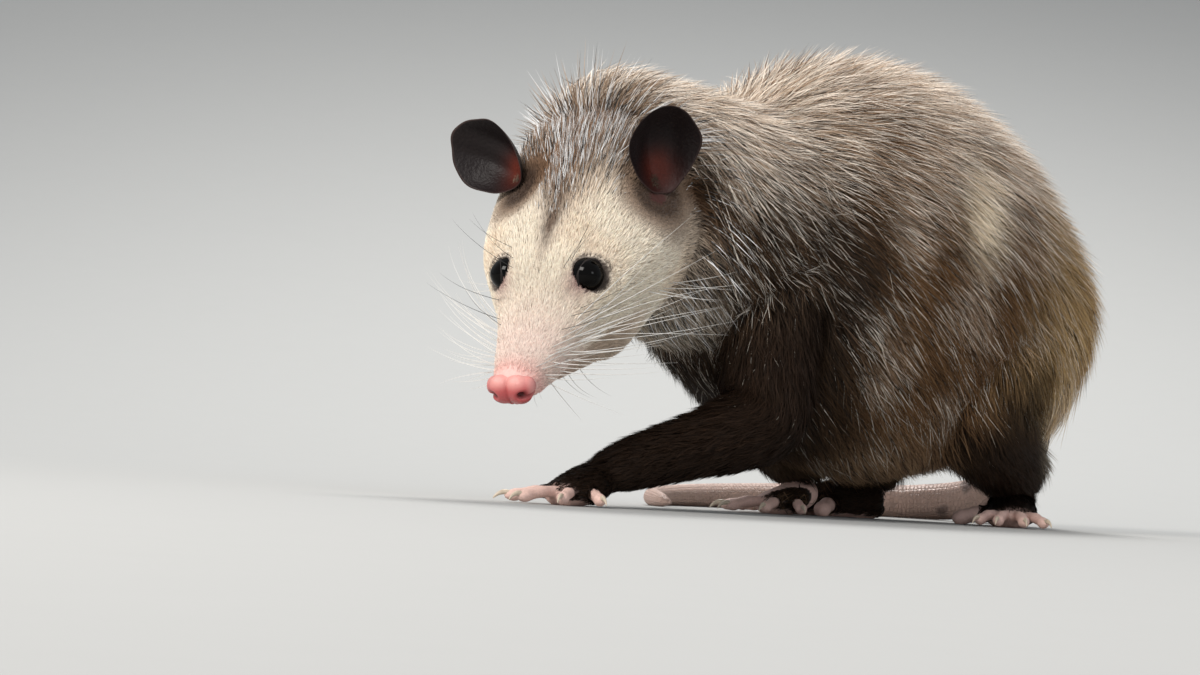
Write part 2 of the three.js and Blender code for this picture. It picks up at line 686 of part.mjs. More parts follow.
// Every node is cut clear of those listed before it

function parted(body, made) {
  if (made.kept) return body.intersect(solid(made.kept, made.place));
  return made.parted ? body.subtract(solid(made.parted, made.place)) : body;
}

const taken = [];
for (const made of nodes) {
  let body = parted(joined(made.pieces, made.place), made);
  for (const hole of made.holes ?? []) body = body.subtract(solid(hole, made.place));
  const bounds = body.boundingBox();
  for (const other of taken) {
    const apart = [0, 1, 2].some((k) => other.low[k] > bounds.max[k] || other.high[k] < bounds.min[k]);
    if (!apart) body = body.subtract(other.body);
  }
  if (made.floor) body = body.subtract(FLOOR_CUT);
  body = largest(body);
  const cutter = parted(joined(made.pieces, made.place, GAP), made);
  const box = cutter.boundingBox();
  taken.push({ body: cutter, low: box.min, high: box.max });
  const mesh = new THREE.Mesh(geometryOf(body, made.place), made.material);
  mesh.name = made.name;
  made.group.add(mesh);
}

// The part's origin is the middle of its box's underside

const box = new THREE.Box3().setFromObject(animal, true);
const centre = box.getCenter(new THREE.Vector3());
animal.position.set(-centre.x, -centre.y, 0);

export default animal;
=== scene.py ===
import math

import bmesh
import bpy
import numpy as np
from mathutils import Euler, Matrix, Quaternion, Vector
from mathutils.bvhtree import BVHTree
from mathutils.kdtree import KDTree


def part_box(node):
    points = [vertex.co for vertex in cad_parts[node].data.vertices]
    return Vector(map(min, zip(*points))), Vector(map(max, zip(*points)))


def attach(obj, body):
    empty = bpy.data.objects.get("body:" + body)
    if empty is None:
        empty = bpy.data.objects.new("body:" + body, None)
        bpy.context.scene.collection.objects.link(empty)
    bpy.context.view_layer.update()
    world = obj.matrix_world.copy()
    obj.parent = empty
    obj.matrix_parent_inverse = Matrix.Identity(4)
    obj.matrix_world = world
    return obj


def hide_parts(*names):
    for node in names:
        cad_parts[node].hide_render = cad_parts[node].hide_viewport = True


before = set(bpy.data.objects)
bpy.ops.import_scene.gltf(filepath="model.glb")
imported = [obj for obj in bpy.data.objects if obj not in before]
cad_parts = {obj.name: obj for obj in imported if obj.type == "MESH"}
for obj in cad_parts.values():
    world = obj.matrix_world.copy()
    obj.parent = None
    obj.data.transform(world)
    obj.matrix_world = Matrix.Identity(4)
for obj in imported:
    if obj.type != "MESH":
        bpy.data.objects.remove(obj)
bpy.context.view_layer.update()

# Body skin. The flesh of a Virginia opossum in mid step, from nose to hands and feet, is one skin, on the
# solids' sections with a fuller jaw and finer digits. Every length is in mm from a point on the floor under
# the belly, and the left eye's solid tells where that point lies in the model.
HEAD_AT = np.array([186.0, 20.0, 103.0])
HEAD_TURN = np.array(Euler((math.radians(1.5), math.radians(43.5), math.radians(25))).to_matrix())
EYE_SPOT = np.array([2.0, 19.2, 0.0])
LEAST = 0.15


def from_head(spots):
    return np.asarray(spots, float) @ HEAD_TURN.T + HEAD_AT


def to_head(spots):
    return (spots - HEAD_AT) @ HEAD_TURN


eye_low, eye_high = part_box("eye_left")
FLOOR_POINT = np.array((eye_low + eye_high) / 2) - from_head(EYE_SPOT) * 0.001
FLOOR_POINT[2] = 0.0


def to_model(spots):
    return np.asarray(spots, float) * 0.001 + FLOOR_POINT


def to_body(spots):
    return (np.asarray(spots, float) - FLOOR_POINT) * 1000


def unit(v):
    return v / np.maximum(np.linalg.norm(v, axis=-1, keepdims=True), 1e-9)


def eased(keys, values, x, level_ends):
    """A smooth value through the keys."""
    rise = np.diff(values) / np.diff(keys)
    slope = np.zeros(len(keys))
    slope[1:-1] = (values[2:] - values[:-2]) / (keys[2:] - keys[:-2])
    if not level_ends:
        slope[0], slope[-1] = 1.3 * rise[0], 1.3 * rise[-1]
    k = np.clip(np.searchsorted(keys, x, side="left") - 1, 0, len(keys) - 2)
    span = keys[k + 1] - keys[k]
    t = (x - keys[k]) / span
    return (
        (2 * t**3 - 3 * t**2 + 1) * values[k]
        + (t**3 - 2 * t**2 + t) * span * slope[k]
        + (3 * t**2 - 2 * t**3) * values[k + 1]
        + (t**3 - t**2) * span * slope[k + 1]
    )


class Length:
    """A rounded length of the body through sections of x, y, z, half width, half height above and below."""

    def __init__(self, sections, side=(0, 1, 0)):
        rows = np.array([list(s) + [s[-1]] * (6 - len(s)) for s in sections], float)
        self.rows, self.side = rows, np.array(side, float)
        gone = np.r_[0, np.cumsum(np.linalg.norm(np.diff(rows[:, :3], axis=0), axis=1))]
        self.total = gone[-1]
        self.keys = np.arccos(np.clip(1 - 2 * gone / self.total, -1, 1))
        self.upright = 1
        if self.frame_at(np.array([math.pi / 2]))[2][0, 2] < -0.05:
            self.upright = -1
        self.turns = np.linspace(0, math.pi, 61)
        self.centres = self.centre(self.turns)

    def centre(self, turn):
        return np.stack([eased(self.keys, self.rows[:, c], turn, True) for c in range(3)], -1)

    def size(self, turn):
        return [np.maximum(LEAST, eased(self.keys, self.rows[:, c], turn, False)) for c in (3, 4, 5)]

    def frame_at(self, turn):
        ahead, behind = np.minimum(math.pi, turn + 0.04), np.maximum(0, turn - 0.04)
        tangent = unit(self.centre(ahead) - self.centre(behind))
        across = unit(self.side - tangent * (tangent @ self.side)[:, None])
        return tangent, across, np.cross(across, tangent) * self.upright

    def place(self, turn, angle, grow=0.0):
        """The spot on the surface at a turn from 0 to pi along the length and an angle round it."""
        turn, angle = np.atleast_1d(turn).astype(float), np.atleast_1d(angle).astype(float)
        tangent, across, up = self.frame_at(turn)
        wide, above, below = self.size(turn)
        high = np.where(np.sin(angle) > 0, above, below)
        out = grow * np.sin(turn)
        return (
            self.centre(turn)
            + across * (np.cos(angle) * (wide + out))[:, None]
            + up * (np.sin(angle) * (high + out))[:, None]
            - tangent * (grow * np.cos(turn))[:, None]
        )

    def far(self, spots):
        """The squared distance of each spot from each centre."""
        return (spots**2).sum(1)[:, None] + (self.centres**2).sum(1) - 2 * spots @ self.centres.T

    def locate(self, spots):
        """The turn, angle and share of the way out, 1 on the surface, of each spot."""
        turn = self.turns[self.far(spots).argmin(1)]
        for _ in range(2):
            tangent = self.frame_at(turn)[0]
            pace = np.linalg.norm(self.centre(turn + 0.02) - self.centre(turn - 0.02), axis=1) / 0.04
            gap = ((spots - self.centre(turn)) * tangent).sum(1)
            turn = np.clip(turn + gap / np.maximum(pace, 0.1 * self.total), 0.02, math.pi - 0.02)
        tangent, across, up = self.frame_at(turn)
        away = spots - self.centre(turn)
        wide, above, below = [np.maximum(s, 4) for s in self.size(turn)]
        side, top, past = [(away * v).sum(1) for v in (across, up, tangent)]
        side, top = side / wide, top / np.where(top > 0, above, below)
        return turn, np.arctan2(top, side), np.sqrt(side**2 + top**2 + (past / 9) ** 2)


def limb(joints, sizes):
    """The sections of a leg's length, with a rounded end beyond its first and last joint."""
    joints = [np.array(j, float) for j in joints]
    first = joints[0] + unit(joints[0] - joints[1]) * sizes[0][0]
    last = joints[-1] + unit(joints[-1] - joints[-2]) * sizes[-1][0]
    rows = [[*j, *s] for j, s in zip(joints, sizes)]
    return [[*first, 0, 0, 0], *rows, [*last, 0, 0, 0]]


def between(a, b):
    return [(p + q) / 2 for p, q in zip(a, b)]


NECK_REACH = from_head([[-70, 0, -6], [-60, 0, -6]])
NECK_SECTIONS = [
    [36, 2, 132, 0, 0, 0],
    [54, 3, 132, 40, 44, 44],
    [86, 5, 134, 43, 49, 52],
    [*(NECK_REACH[0] + (-20, -2, -2)), 41, 44, 52],
    [*NECK_REACH[0], 37, 41, 44],
    [*(NECK_REACH[0] + (13, 3, -3)), 0, 0, 0],
]
TORSO_SECTIONS = [
    [94, 0, 102, 0, 0, 0],
    [84, 0, 105, 31, 36, 36],
    [58, 0, 115, 44, 61, 60],
    [20, 0, 120, 53, 78, 80],
    [-22, 0, 121, 57, 84, 89],
    [-62, 0, 114, 55, 77, 86],
    [-98, 0, 100, 49, 60, 70],
    [-126, 0, 85, 40, 42, 46],
    [-142, 0, 74, 0, 0, 0],
]
HEAD_SECTIONS = [
    [62, 0, -18, 0, 0, 0],
    [59, 0, -18, 8, 6.5, 8],
    [47, 0, -17, 11.5, 9, 12.5],
    [30, 0, -15, 17.5, 12, 24.5],
    [14, 0, -12, 24, 15, 37.5],
    [0, 0, -9, 31.5, 19, 47],
    [-20, 0, -8, 40.5, 25, 47],
    [-42, 0, -8, 46, 30, 45],
    [-60, 0, -9, 46, 31, 36],
    [-80, 0, -13, 32, 26, 28],
    [-94, 0, -16, 0, 0, 0],
]
ARMS = {
    "left": ([62, 30, 104], [72, 46, 42], [148, 22, 15]),
    "right": ([56, -30, 104], [26, -44, 78], [-13, -20, 19]),
}
LEGS = {
    "left": ([-90, 24, 92], [-72, 40, 54], [-135, 14, 24]),
    "right": ([-88, -24, 92], [-38, -40, 62], [-70, -24, 24]),
}

lengths = {
    "torso": Length(TORSO_SECTIONS),
    "neck": Length(NECK_SECTIONS),
    "head": Length(
        [[*from_head([s[:3]])[0], *s[3:]] for s in HEAD_SECTIONS],
        HEAD_TURN @ np.array([0.0, 1.0, 0.0]),
    ),
}
for side, (shoulder, elbow, wrist) in ARMS.items():
    lengths["upper_arm_" + side] = Length(
        limb([shoulder, between(shoulder, elbow), elbow], [[18, 18], [17, 16], [14, 13]])
    )
    lengths["forearm_" + side] = Length(
        limb([elbow, between(elbow, wrist), wrist], [[15, 14], [12.5, 11.5], [8.5, 8]])
    )
for side, (hip, knee, ankle) in LEGS.items():
    lengths["thigh_" + side] = Length(
        limb([hip, between(hip, knee), knee], [[25, 25], [23, 24], [18, 18]])
    )
    lengths["shank_" + side] = Length(
        limb([knee, between(knee, ankle), ankle], [[18, 17], [15.5, 14.5], [10, 10]])
    )

HAND = {
    "palm": [
        [-12, 0, 13, 0, 0, 0], [-8, 0, 12, 8, 7], [6, 0, 8, 12, 6, 8.5], [17, 0, 5, 9.5, 4.5, 6],
        [21, 0, 4.5, 0, 0, 0],
    ],
    "spread": [-64, -31, 0, 31, 64],
    "reach": [20, 25, 26, 24, 20],
    "set_back": 0.13,
}
FOOT = {
    "palm": [
        [-30, 0, 12, 0, 0, 0], [-25, 0, 11, 9, 9, 11], [-6, 0, 9, 11, 8, 9.5], [14, 0, 6, 12, 5, 7],
        [21, 0, 4.5, 0, 0, 0],
    ],
    "spread": [-24, -8, 9, 27],
    "reach": [22, 26, 26, 22],
    "set_back": 0.0,
}
DIGIT_RADIUS = 2.9
EXTREMITIES = {
    "hand_left": (HAND, 157, 20, 6, 1),
    "hand_right": (HAND, -10, -19, -4, -1),
    "foot_left": (FOOT, -119, 26, 42, 1),
    "foot_right": (FOOT, -48, -36, -30, -1),
}


def on_foot(spots, x, y, yaw):
    """Sections that are drawn on a foot's own axes, moved to where the foot stands."""
    c, s = math.cos(math.radians(yaw)), math.sin(math.radians(yaw))
    return [[x + c * p[0] - s * p[1], y + s * p[0] + c * p[1], *p[2:]] for p in spots]


def digit_sections(start, yaw, reach, radius):
    """A digit from palm to blunt tip: two joints that bulge a little and a round pad on the floor."""
    c, s = math.cos(math.radians(yaw)), math.sin(math.radians(yaw))
    steps = [
        (-3.5, 5, 0, 0, 0),
        (0, 5.6, radius * 1.0, radius * 1.0, radius * 1.0),
        (reach * 0.28, 5.7, radius * 0.88, radius * 0.9, radius * 0.9),
        (reach * 0.44, 5.4, radius * 1.0, radius * 1.0, radius * 0.92),
        (reach * 0.62, 4.5, radius * 0.86, radius * 0.86, radius * 0.86),
        (reach * 0.84, 3.4, radius * 1.02, radius * 0.92, radius * 1.04),
        (reach, 2.8, 0, 0, 0),
    ]
    return [[start[0] + c * d, start[1] + s * d, z, w, h, b] for d, z, w, h, b in steps]


def digits_of(plan, mirror):
    """Where each digit of a hand or foot starts, which way it points and how far it reaches."""
    widest = max(plan["spread"])
    for yaw, reach in zip(plan["spread"], plan["reach"]):
        turned = math.radians(yaw)
        x = 14 + 3 * math.cos(turned) - plan["set_back"] * abs(yaw)
        y = mirror * 9 * math.sin(math.radians(64) * yaw / widest)
        yield (x, y), mirror * yaw, reach


def add_length(bm, length, around, along, grow=0.0):
    """A closed tube of faces laid on a length of the body."""
    made = bmesh.ops.create_uvsphere(bm, u_segments=around, v_segments=along, radius=1)["verts"]
    ball = np.array([v.co for v in made], float)
    turn = np.arccos(np.clip(ball[:, 2], -1, 1))
    spots = to_model(length.place(turn, np.arctan2(ball[:, 1], ball[:, 0]), grow))
    for v, spot in zip(made, spots):
        v.co = spot
    return made


def read(items, what, width, kind=float):
    """A value of each item of a mesh, as rows."""
    rows = np.empty(len(items) * width, kind)
    items.foreach_get(what, rows)
    return rows.reshape(-1, width)


def spots_of(mesh):
    return read(mesh.vertices, "co", 3)


def set_spots(mesh, spots):
    mesh.vertices.foreach_set("co", np.asarray(spots, float).ravel())
    mesh.update()


def mesh_of(bm, name):
    """A built form's mesh, with all faces turned outward."""
    bmesh.ops.recalc_face_normals(bm, faces=bm.faces)
    mesh = bpy.data.meshes.new(name)
    bm.to_mesh(mesh)
    bm.free()
    return mesh


def placed(name, mesh, smooth=True):
    """A piece of the scene with this mesh."""
    mesh.polygons.foreach_set("use_smooth", np.full(len(mesh.polygons), smooth))
    piece = bpy.data.objects.new(name, mesh)
    bpy.context.scene.collection.objects.link(piece)
    return piece


def as_shown(piece):
    """The piece's mesh with its modifiers applied."""
    return bpy.data.meshes.new_from_object(piece.evaluated_get(bpy.context.evaluated_depsgraph_get()))


def add_ease(piece, factor, rounds):
    ease = piece.modifiers.new("ease", "SMOOTH")
    ease.factor = factor
    ease.iterations = rounds


def one_surface(name, bm, voxel, rounds):
    """Crossing closed forms made one even surface and eased."""
    piece = placed(name, mesh_of(bm, name))
    remesh = piece.modifiers.new("remesh", "REMESH")
    remesh.mode = "VOXEL"
    remesh.voxel_size = voxel
    add_ease(piece, 0.5, rounds)
    made = as_shown(piece)
    piece.modifiers.clear()
    piece.data = made
    made.name = name
    return piece


BODY_VOXEL, END_VOXEL, HEAD_VOXEL = 0.0026, 0.0009, 0.0011
body = bmesh.new()
add_length(body, lengths["torso"], 96, 96)
add_length(body, lengths["neck"], 80, 60)
for name, length in lengths.items():
    if name not in ("torso", "neck", "head"):
        add_length(body, length, 36, 40)
body_skin = one_surface("body_skin", body, BODY_VOXEL, 6)

limb_ends = bmesh.new()
for name, (plan, x, y, yaw, mirror) in EXTREMITIES.items():
    lengths[name] = Length(on_foot(plan["palm"], x, y, yaw))
    add_length(limb_ends, lengths[name], 36, 30)
    for start, turned, reach in digits_of(plan, mirror):
        own = on_foot(digit_sections(start, turned, reach, DIGIT_RADIUS), x, y, yaw)
        aim = math.radians(turned + yaw)
        add_length(limb_ends, Length(own, (-math.sin(aim), math.cos(aim), 0)), 20, 24)
    if plan is FOOT:
        own = on_foot(digit_sections((-2, -mirror * 7), -mirror * 62, 25, 4.2), x, y, yaw)
        aim = math.radians(-mirror * 62 + yaw)
        add_length(limb_ends, Length(own, (-math.sin(aim), math.cos(aim), 0)), 24, 26)
end_skin = one_surface("end_skin", limb_ends, END_VOXEL, 3)

# Head. The skull and muzzle with cheeks, brow and whisker pads are worked into the same skin, finer than
# the body. The sockets, the line of the closed mouth and a dent at each ear's foot are pressed into it.
head = bmesh.new()
add_length(head, lengths["head"], 96, 110)
head_skin = one_surface("head_skin", head, HEAD_VOXEL, 4)
spots = to_head(to_body(spots_of(head_skin.data)))
axis_y, axis_z = spots[:, 1], spots[:, 2]
out = unit(np.stack([0 * axis_y, axis_y, (axis_z + 10) * 0.8], -1))


def bump(x, y, z, wide, size=1.0):
    """A soft round swelling about a spot on the head, the same on both sides."""
    far = (spots[:, 0] - x) ** 2 + (np.abs(spots[:, 1]) - y) ** 2 + ((spots[:, 2] - z) * size) ** 2
    return np.exp(-far / wide**2)


push = 1.6 * bump(44, 10, -20, 10) + 1.2 * bump(8, 14, 12, 9) - 1.8 * bump(20, 17, -4, 10)
push += 1.6 * bump(-16, 34, -16, 16) - 1.2 * bump(30, 4, -6, 14)
push -= 1.3 * np.exp(-(axis_y / 5) ** 2) * np.exp(-((spots[:, 0] + 12) / 16) ** 2) * (axis_z > 0)
line = np.interp(spots[:, 0], [-6, 1, 20, 45, 58], [-28.6, -27.6, -26.8, -26.2, -25.2])
mouth_on = np.clip((spots[:, 0] + 3) / 5, 0, 1)
push -= 2.1 * np.exp(-(((axis_z - line) / 1.15) ** 2)) * mouth_on
push += 1.0 * np.exp(-(((axis_z - line - 3.0) / 2.2) ** 2)) * mouth_on * (spots[:, 0] < 56)
push -= 0.9 * np.exp(-(((axis_z - line + 5.0) / 5.0) ** 2)) * mouth_on
spots = spots + out * push[:, None]
EYE_RADIUS = 7.9
EAR_FEET = np.array([[-46.0, 39.0, 8.0], [-40.0, -27.0, 20.0]])
EYE_LOOK = unit(np.array([0.42, 0.86, 0.28]))
for sign in (1, -1):
    centre, look = EYE_SPOT * (1, sign, 1), EYE_LOOK * (1, sign, 1)
    away = spots - centre
    ahead = away @ look
    off = np.linalg.norm(away - ahead[:, None] * look, axis=1)
    sunk = np.where(ahead > 0, np.clip((8.6 - off) / 3.0, 0, 1), 0)
    goal = np.clip(math.sqrt(EYE_RADIUS**2 - 3.0**2) - 4.6, 0, 9)
    spots -= look * ((ahead - goal) * sunk * sunk * (3 - 2 * sunk) * (ahead > goal))[:, None]
for foot in EAR_FEET:
    away = spots - foot
    spots -= unit(spots - (-30, 0, -8)) * (3.2 * np.exp(-((away / (11, 9, 11)) ** 2).sum(1)))[:, None]
set_spots(head_skin.data, to_model(from_head(spots)))
bpy.context.view_layer.update()
add_ease(head_skin, 0.4, 2)
eased_head = as_shown(head_skin)
head_skin.modifiers.clear()
head_skin.data = eased_head

known = np.concatenate([np.round(spots_of(part.data) * 1e6) for part in (body_skin, head_skin, end_skin)])
known = set(map(tuple, known.astype(int).tolist()))
for part in (head_skin, end_skin):
    join = body_skin.modifiers.new("join", "BOOLEAN")
    join.operation = "UNION"
    join.solver = "MANIFOLD"
    join.object = part
bpy.context.view_layer.update()
skin_bm = bmesh.new()
skin_bm.from_mesh(as_shown(body_skin))
for part in (body_skin, head_skin, end_skin):
    bpy.data.objects.remove(part)
seam = {v for v in skin_bm.verts if tuple(round(c * 1e6) for c in v.co) not in known}
for _ in range(3):
    seam |= {e.other_vert(v) for v in seam for e in v.link_edges}
seam = list(seam)
for _ in range(10):
    bmesh.ops.smooth_vert(
        skin_bm, verts=seam, factor=0.5, use_axis_x=True, use_axis_y=True, use_axis_z=True,
    )
bmesh.ops.bisect_plane(
    skin_bm,
    geom=skin_bm.verts[:] + skin_bm.edges[:] + skin_bm.faces[:],
    plane_co=(0, 0, 0.0001),
    plane_no=(0, 0, 1),
)
for v in skin_bm.verts:
    v.co.z = max(v.co.z, 0.0001)
skin_mesh = bpy.data.meshes.new("opossum_skin")
skin_bm.to_mesh(skin_mesh)
skin_bm.free()
skin = placed("opossum_skin", skin_mesh)


def soft(x, low, high):
    t = np.clip((x - low) / (high - low), 0, 1)
    return t * t * (3 - 2 * t)


def mix(a, b, share):
    share = np.asarray(share)[..., None]
    return np.asarray(a) * (1 - share) + np.asarray(b) * share


def ripple(spots, size, seed=0.0):
    """Soft uneven patches, from 0 to 1, that come out the same each time."""
    p = spots / size
    a = np.sin(p[:, 0] * 1.7 + 2.3 * np.sin(p[:, 1] * 1.1 + seed) + seed)
    b = np.sin(p[:, 1] * 1.9 + 2.1 * np.sin(p[:, 2] * 1.3 + 2 * seed) + 1.3)
    c = np.sin(p[:, 2] * 1.6 + 2.2 * np.sin(p[:, 0] * 1.2 - seed) + 2.7)
    return 0.5 + (a + b + c) / 6


# The lie of the hair on each length: which way it runs along it, how far it turns down, how long the
# hair is and how far its tips stand off the skin.
COAT_BACK, COAT_FLANK, COAT_BELLY = 30.0, 21.0, 17.0


def coat_depth(angle):
    high = np.sin(angle)
    return COAT_FLANK + np.where(high > 0, COAT_BACK - COAT_FLANK, COAT_FLANK - COAT_BELLY) * high


def lie_of(name, turn, angle):
    """Heading, share that runs down the side, hair length and depth at a place on a length of the body."""
    top = np.sin(angle)
    one = np.ones_like(turn)
    if name == "torso":
        depth = coat_depth(angle)
        return 1, 0.72 * np.abs(np.cos(angle)) ** 0.6, 15 + 0.85 * depth, depth
    if name == "neck":
        under = soft(-top, 0.1, 0.8)
        return -1, 0.6 * np.abs(np.cos(angle)) ** 0.8, 32 - 11 * under, 19 - 8 * under
    if name == "head":
        back = soft(turn, 1.55, 2.45)
        crown = soft(top, 0.2, 0.6) * soft(turn + 1.1 * (top - 1), 1.5, 1.95)
        return 1, 0.18 * np.abs(np.cos(angle)), 4.5 + 5 * back + 15 * crown, 1.4 + 1.6 * back + 9 * crown
    if name.startswith("upper_arm"):
        return 1, 0 * one, 25 - 7 * soft(turn, 1.2, 2.6), 8 - 4 * soft(turn, 1.2, 2.6)
    if name.startswith("forearm"):
        return 1, 0 * one, 17 - 3 * soft(turn, 1.2, 2.8), 4.6 - 1.6 * soft(turn, 1.2, 2.8)
    if name.startswith("thigh"):
        return 1, 0 * one, 28 - 8 * soft(turn, 1.4, 2.8), 12 - 5 * soft(turn, 1.4, 2.8)
    if name.startswith("shank"):
        return 1, 0 * one, 24 - 8 * soft(turn, 1.2, 2.8), 7 - 2.5 * soft(turn, 1.2, 2.8)
    return 1, 0 * one, 13 - 6 * soft(turn, 0.8, 2.4), 3.2 - 1.9 * soft(turn, 0.8, 2.4)


def eye_gap(own):
    """How far spots in the head's frame lie to the side of the nearer eye's line of sight."""
    gaps = []
    for sign in (1, -1):
        away, look = own - EYE_SPOT * (1, sign, 1), EYE_LOOK * (1, sign, 1)
        ahead = away @ look
        off = np.linalg.norm(away - ahead[:, None] * look, axis=1)
        gaps.append(np.where(ahead > -2, off, 99.0))
    return np.min(gaps, axis=0)


def ear_distance(own):
    """How far spots in the head's frame are from the foot of the nearer ear's cup."""
    return np.min([np.linalg.norm((own - foot) * (1, 1, 0.8), axis=1) for foot in EAR_FEET], axis=0)


def rump_fringe(spots):
    """Where the long hair stands off behind the thighs, from 0 to 1. It is painted pale, partly its own
    pale tips and partly a painted glow of the light from behind.
    """
    return soft(-spots[:, 0], 102, 124) * soft(spots[:, 2], 32, 50) * (1 - soft(spots[:, 2], 84, 110))


def coat_at(spots):
    """All that the coat needs to know at spots on the skin, in mm."""
    count, names = len(spots), list(lengths)
    share, long, deep, turn, angle = np.zeros((5, len(names), count))
    share += 9.0
    flow = np.zeros((len(names), count, 3))
    for i, (name, length) in enumerate(lengths.items()):
        near = (1.5 * length.rows[:, 3:].max() + 12) ** 2
        close = np.flatnonzero(length.far(spots).min(1) < near)
        turn[i, close], angle[i, close], share[i, close] = length.locate(spots[close])
        t, a = turn[i, close], angle[i, close]
        heading, down, long[i, close], deep[i, close] = lie_of(name, t, a)
        ahead, across, up = length.frame_at(t)
        wide, above, below = length.size(t)
        high = np.where(np.sin(a) > 0, above, below)
        sink = unit(across * (np.sin(a) * wide)[:, None] - up * (np.cos(a) * high)[:, None])
        sink *= np.sign(np.cos(a))[:, None]
        flow[i, close] = heading * ahead * np.sqrt(1 - down**2)[:, None] + sink * down[:, None]
    weight = np.exp(-(share - share.min(0)) / 0.09)
    weight /= weight.sum(0)
    label, own = share.argmin(0), np.arange(count)
    hind = {"torso": 1, "thigh_left": 1, "thigh_right": 1, "shank_left": 0.7}
    fringe = rump_fringe(spots) * np.clip(sum(v * weight[names.index(k)] for k, v in hind.items()), 0, 1)
    own_head = to_head(spots)
    short = 1 - 0.8 * soft(28 - ear_distance(own_head), 0, 14)
    short *= 1 - 0.55 * soft(14 - eye_gap(own_head), 0, 4)
    return {
        "flow": unit(unit((flow * weight[:, :, None]).sum(0)) + fringe[:, None] * (-0.5, 0.0, -0.8)),
        "long": (long * weight).sum(0) * short + 26 * fringe,
        "deep": (deep * weight).sum(0) * short + 12 * fringe,
        "weight": dict(zip(names, weight)),
        "fringe": fringe,
        "label": label,
        "inside": share[label, own],
    }


CREAM = (0.89, 0.785, 0.65)
WARM_CREAM = (0.78, 0.57, 0.40)
PINK_WHITE = (0.88, 0.71, 0.63)
STRIPE = (0.13, 0.075, 0.05)
TAN_BROWN = (0.16, 0.085, 0.045)
BROWN_UNDER = (0.145, 0.076, 0.034)
BACK_BUFF = (0.43, 0.315, 0.225)
SHOULDER_DARK = (0.036, 0.023, 0.015)
RUMP_BROWN = (0.46, 0.31, 0.145)
BELLY_BROWN = (0.28, 0.18, 0.105)
LEG_DARK = (0.018, 0.010, 0.006)
HIP_PALE = (0.72, 0.61, 0.45)
CROWN_BROWN = (0.24, 0.145, 0.09)


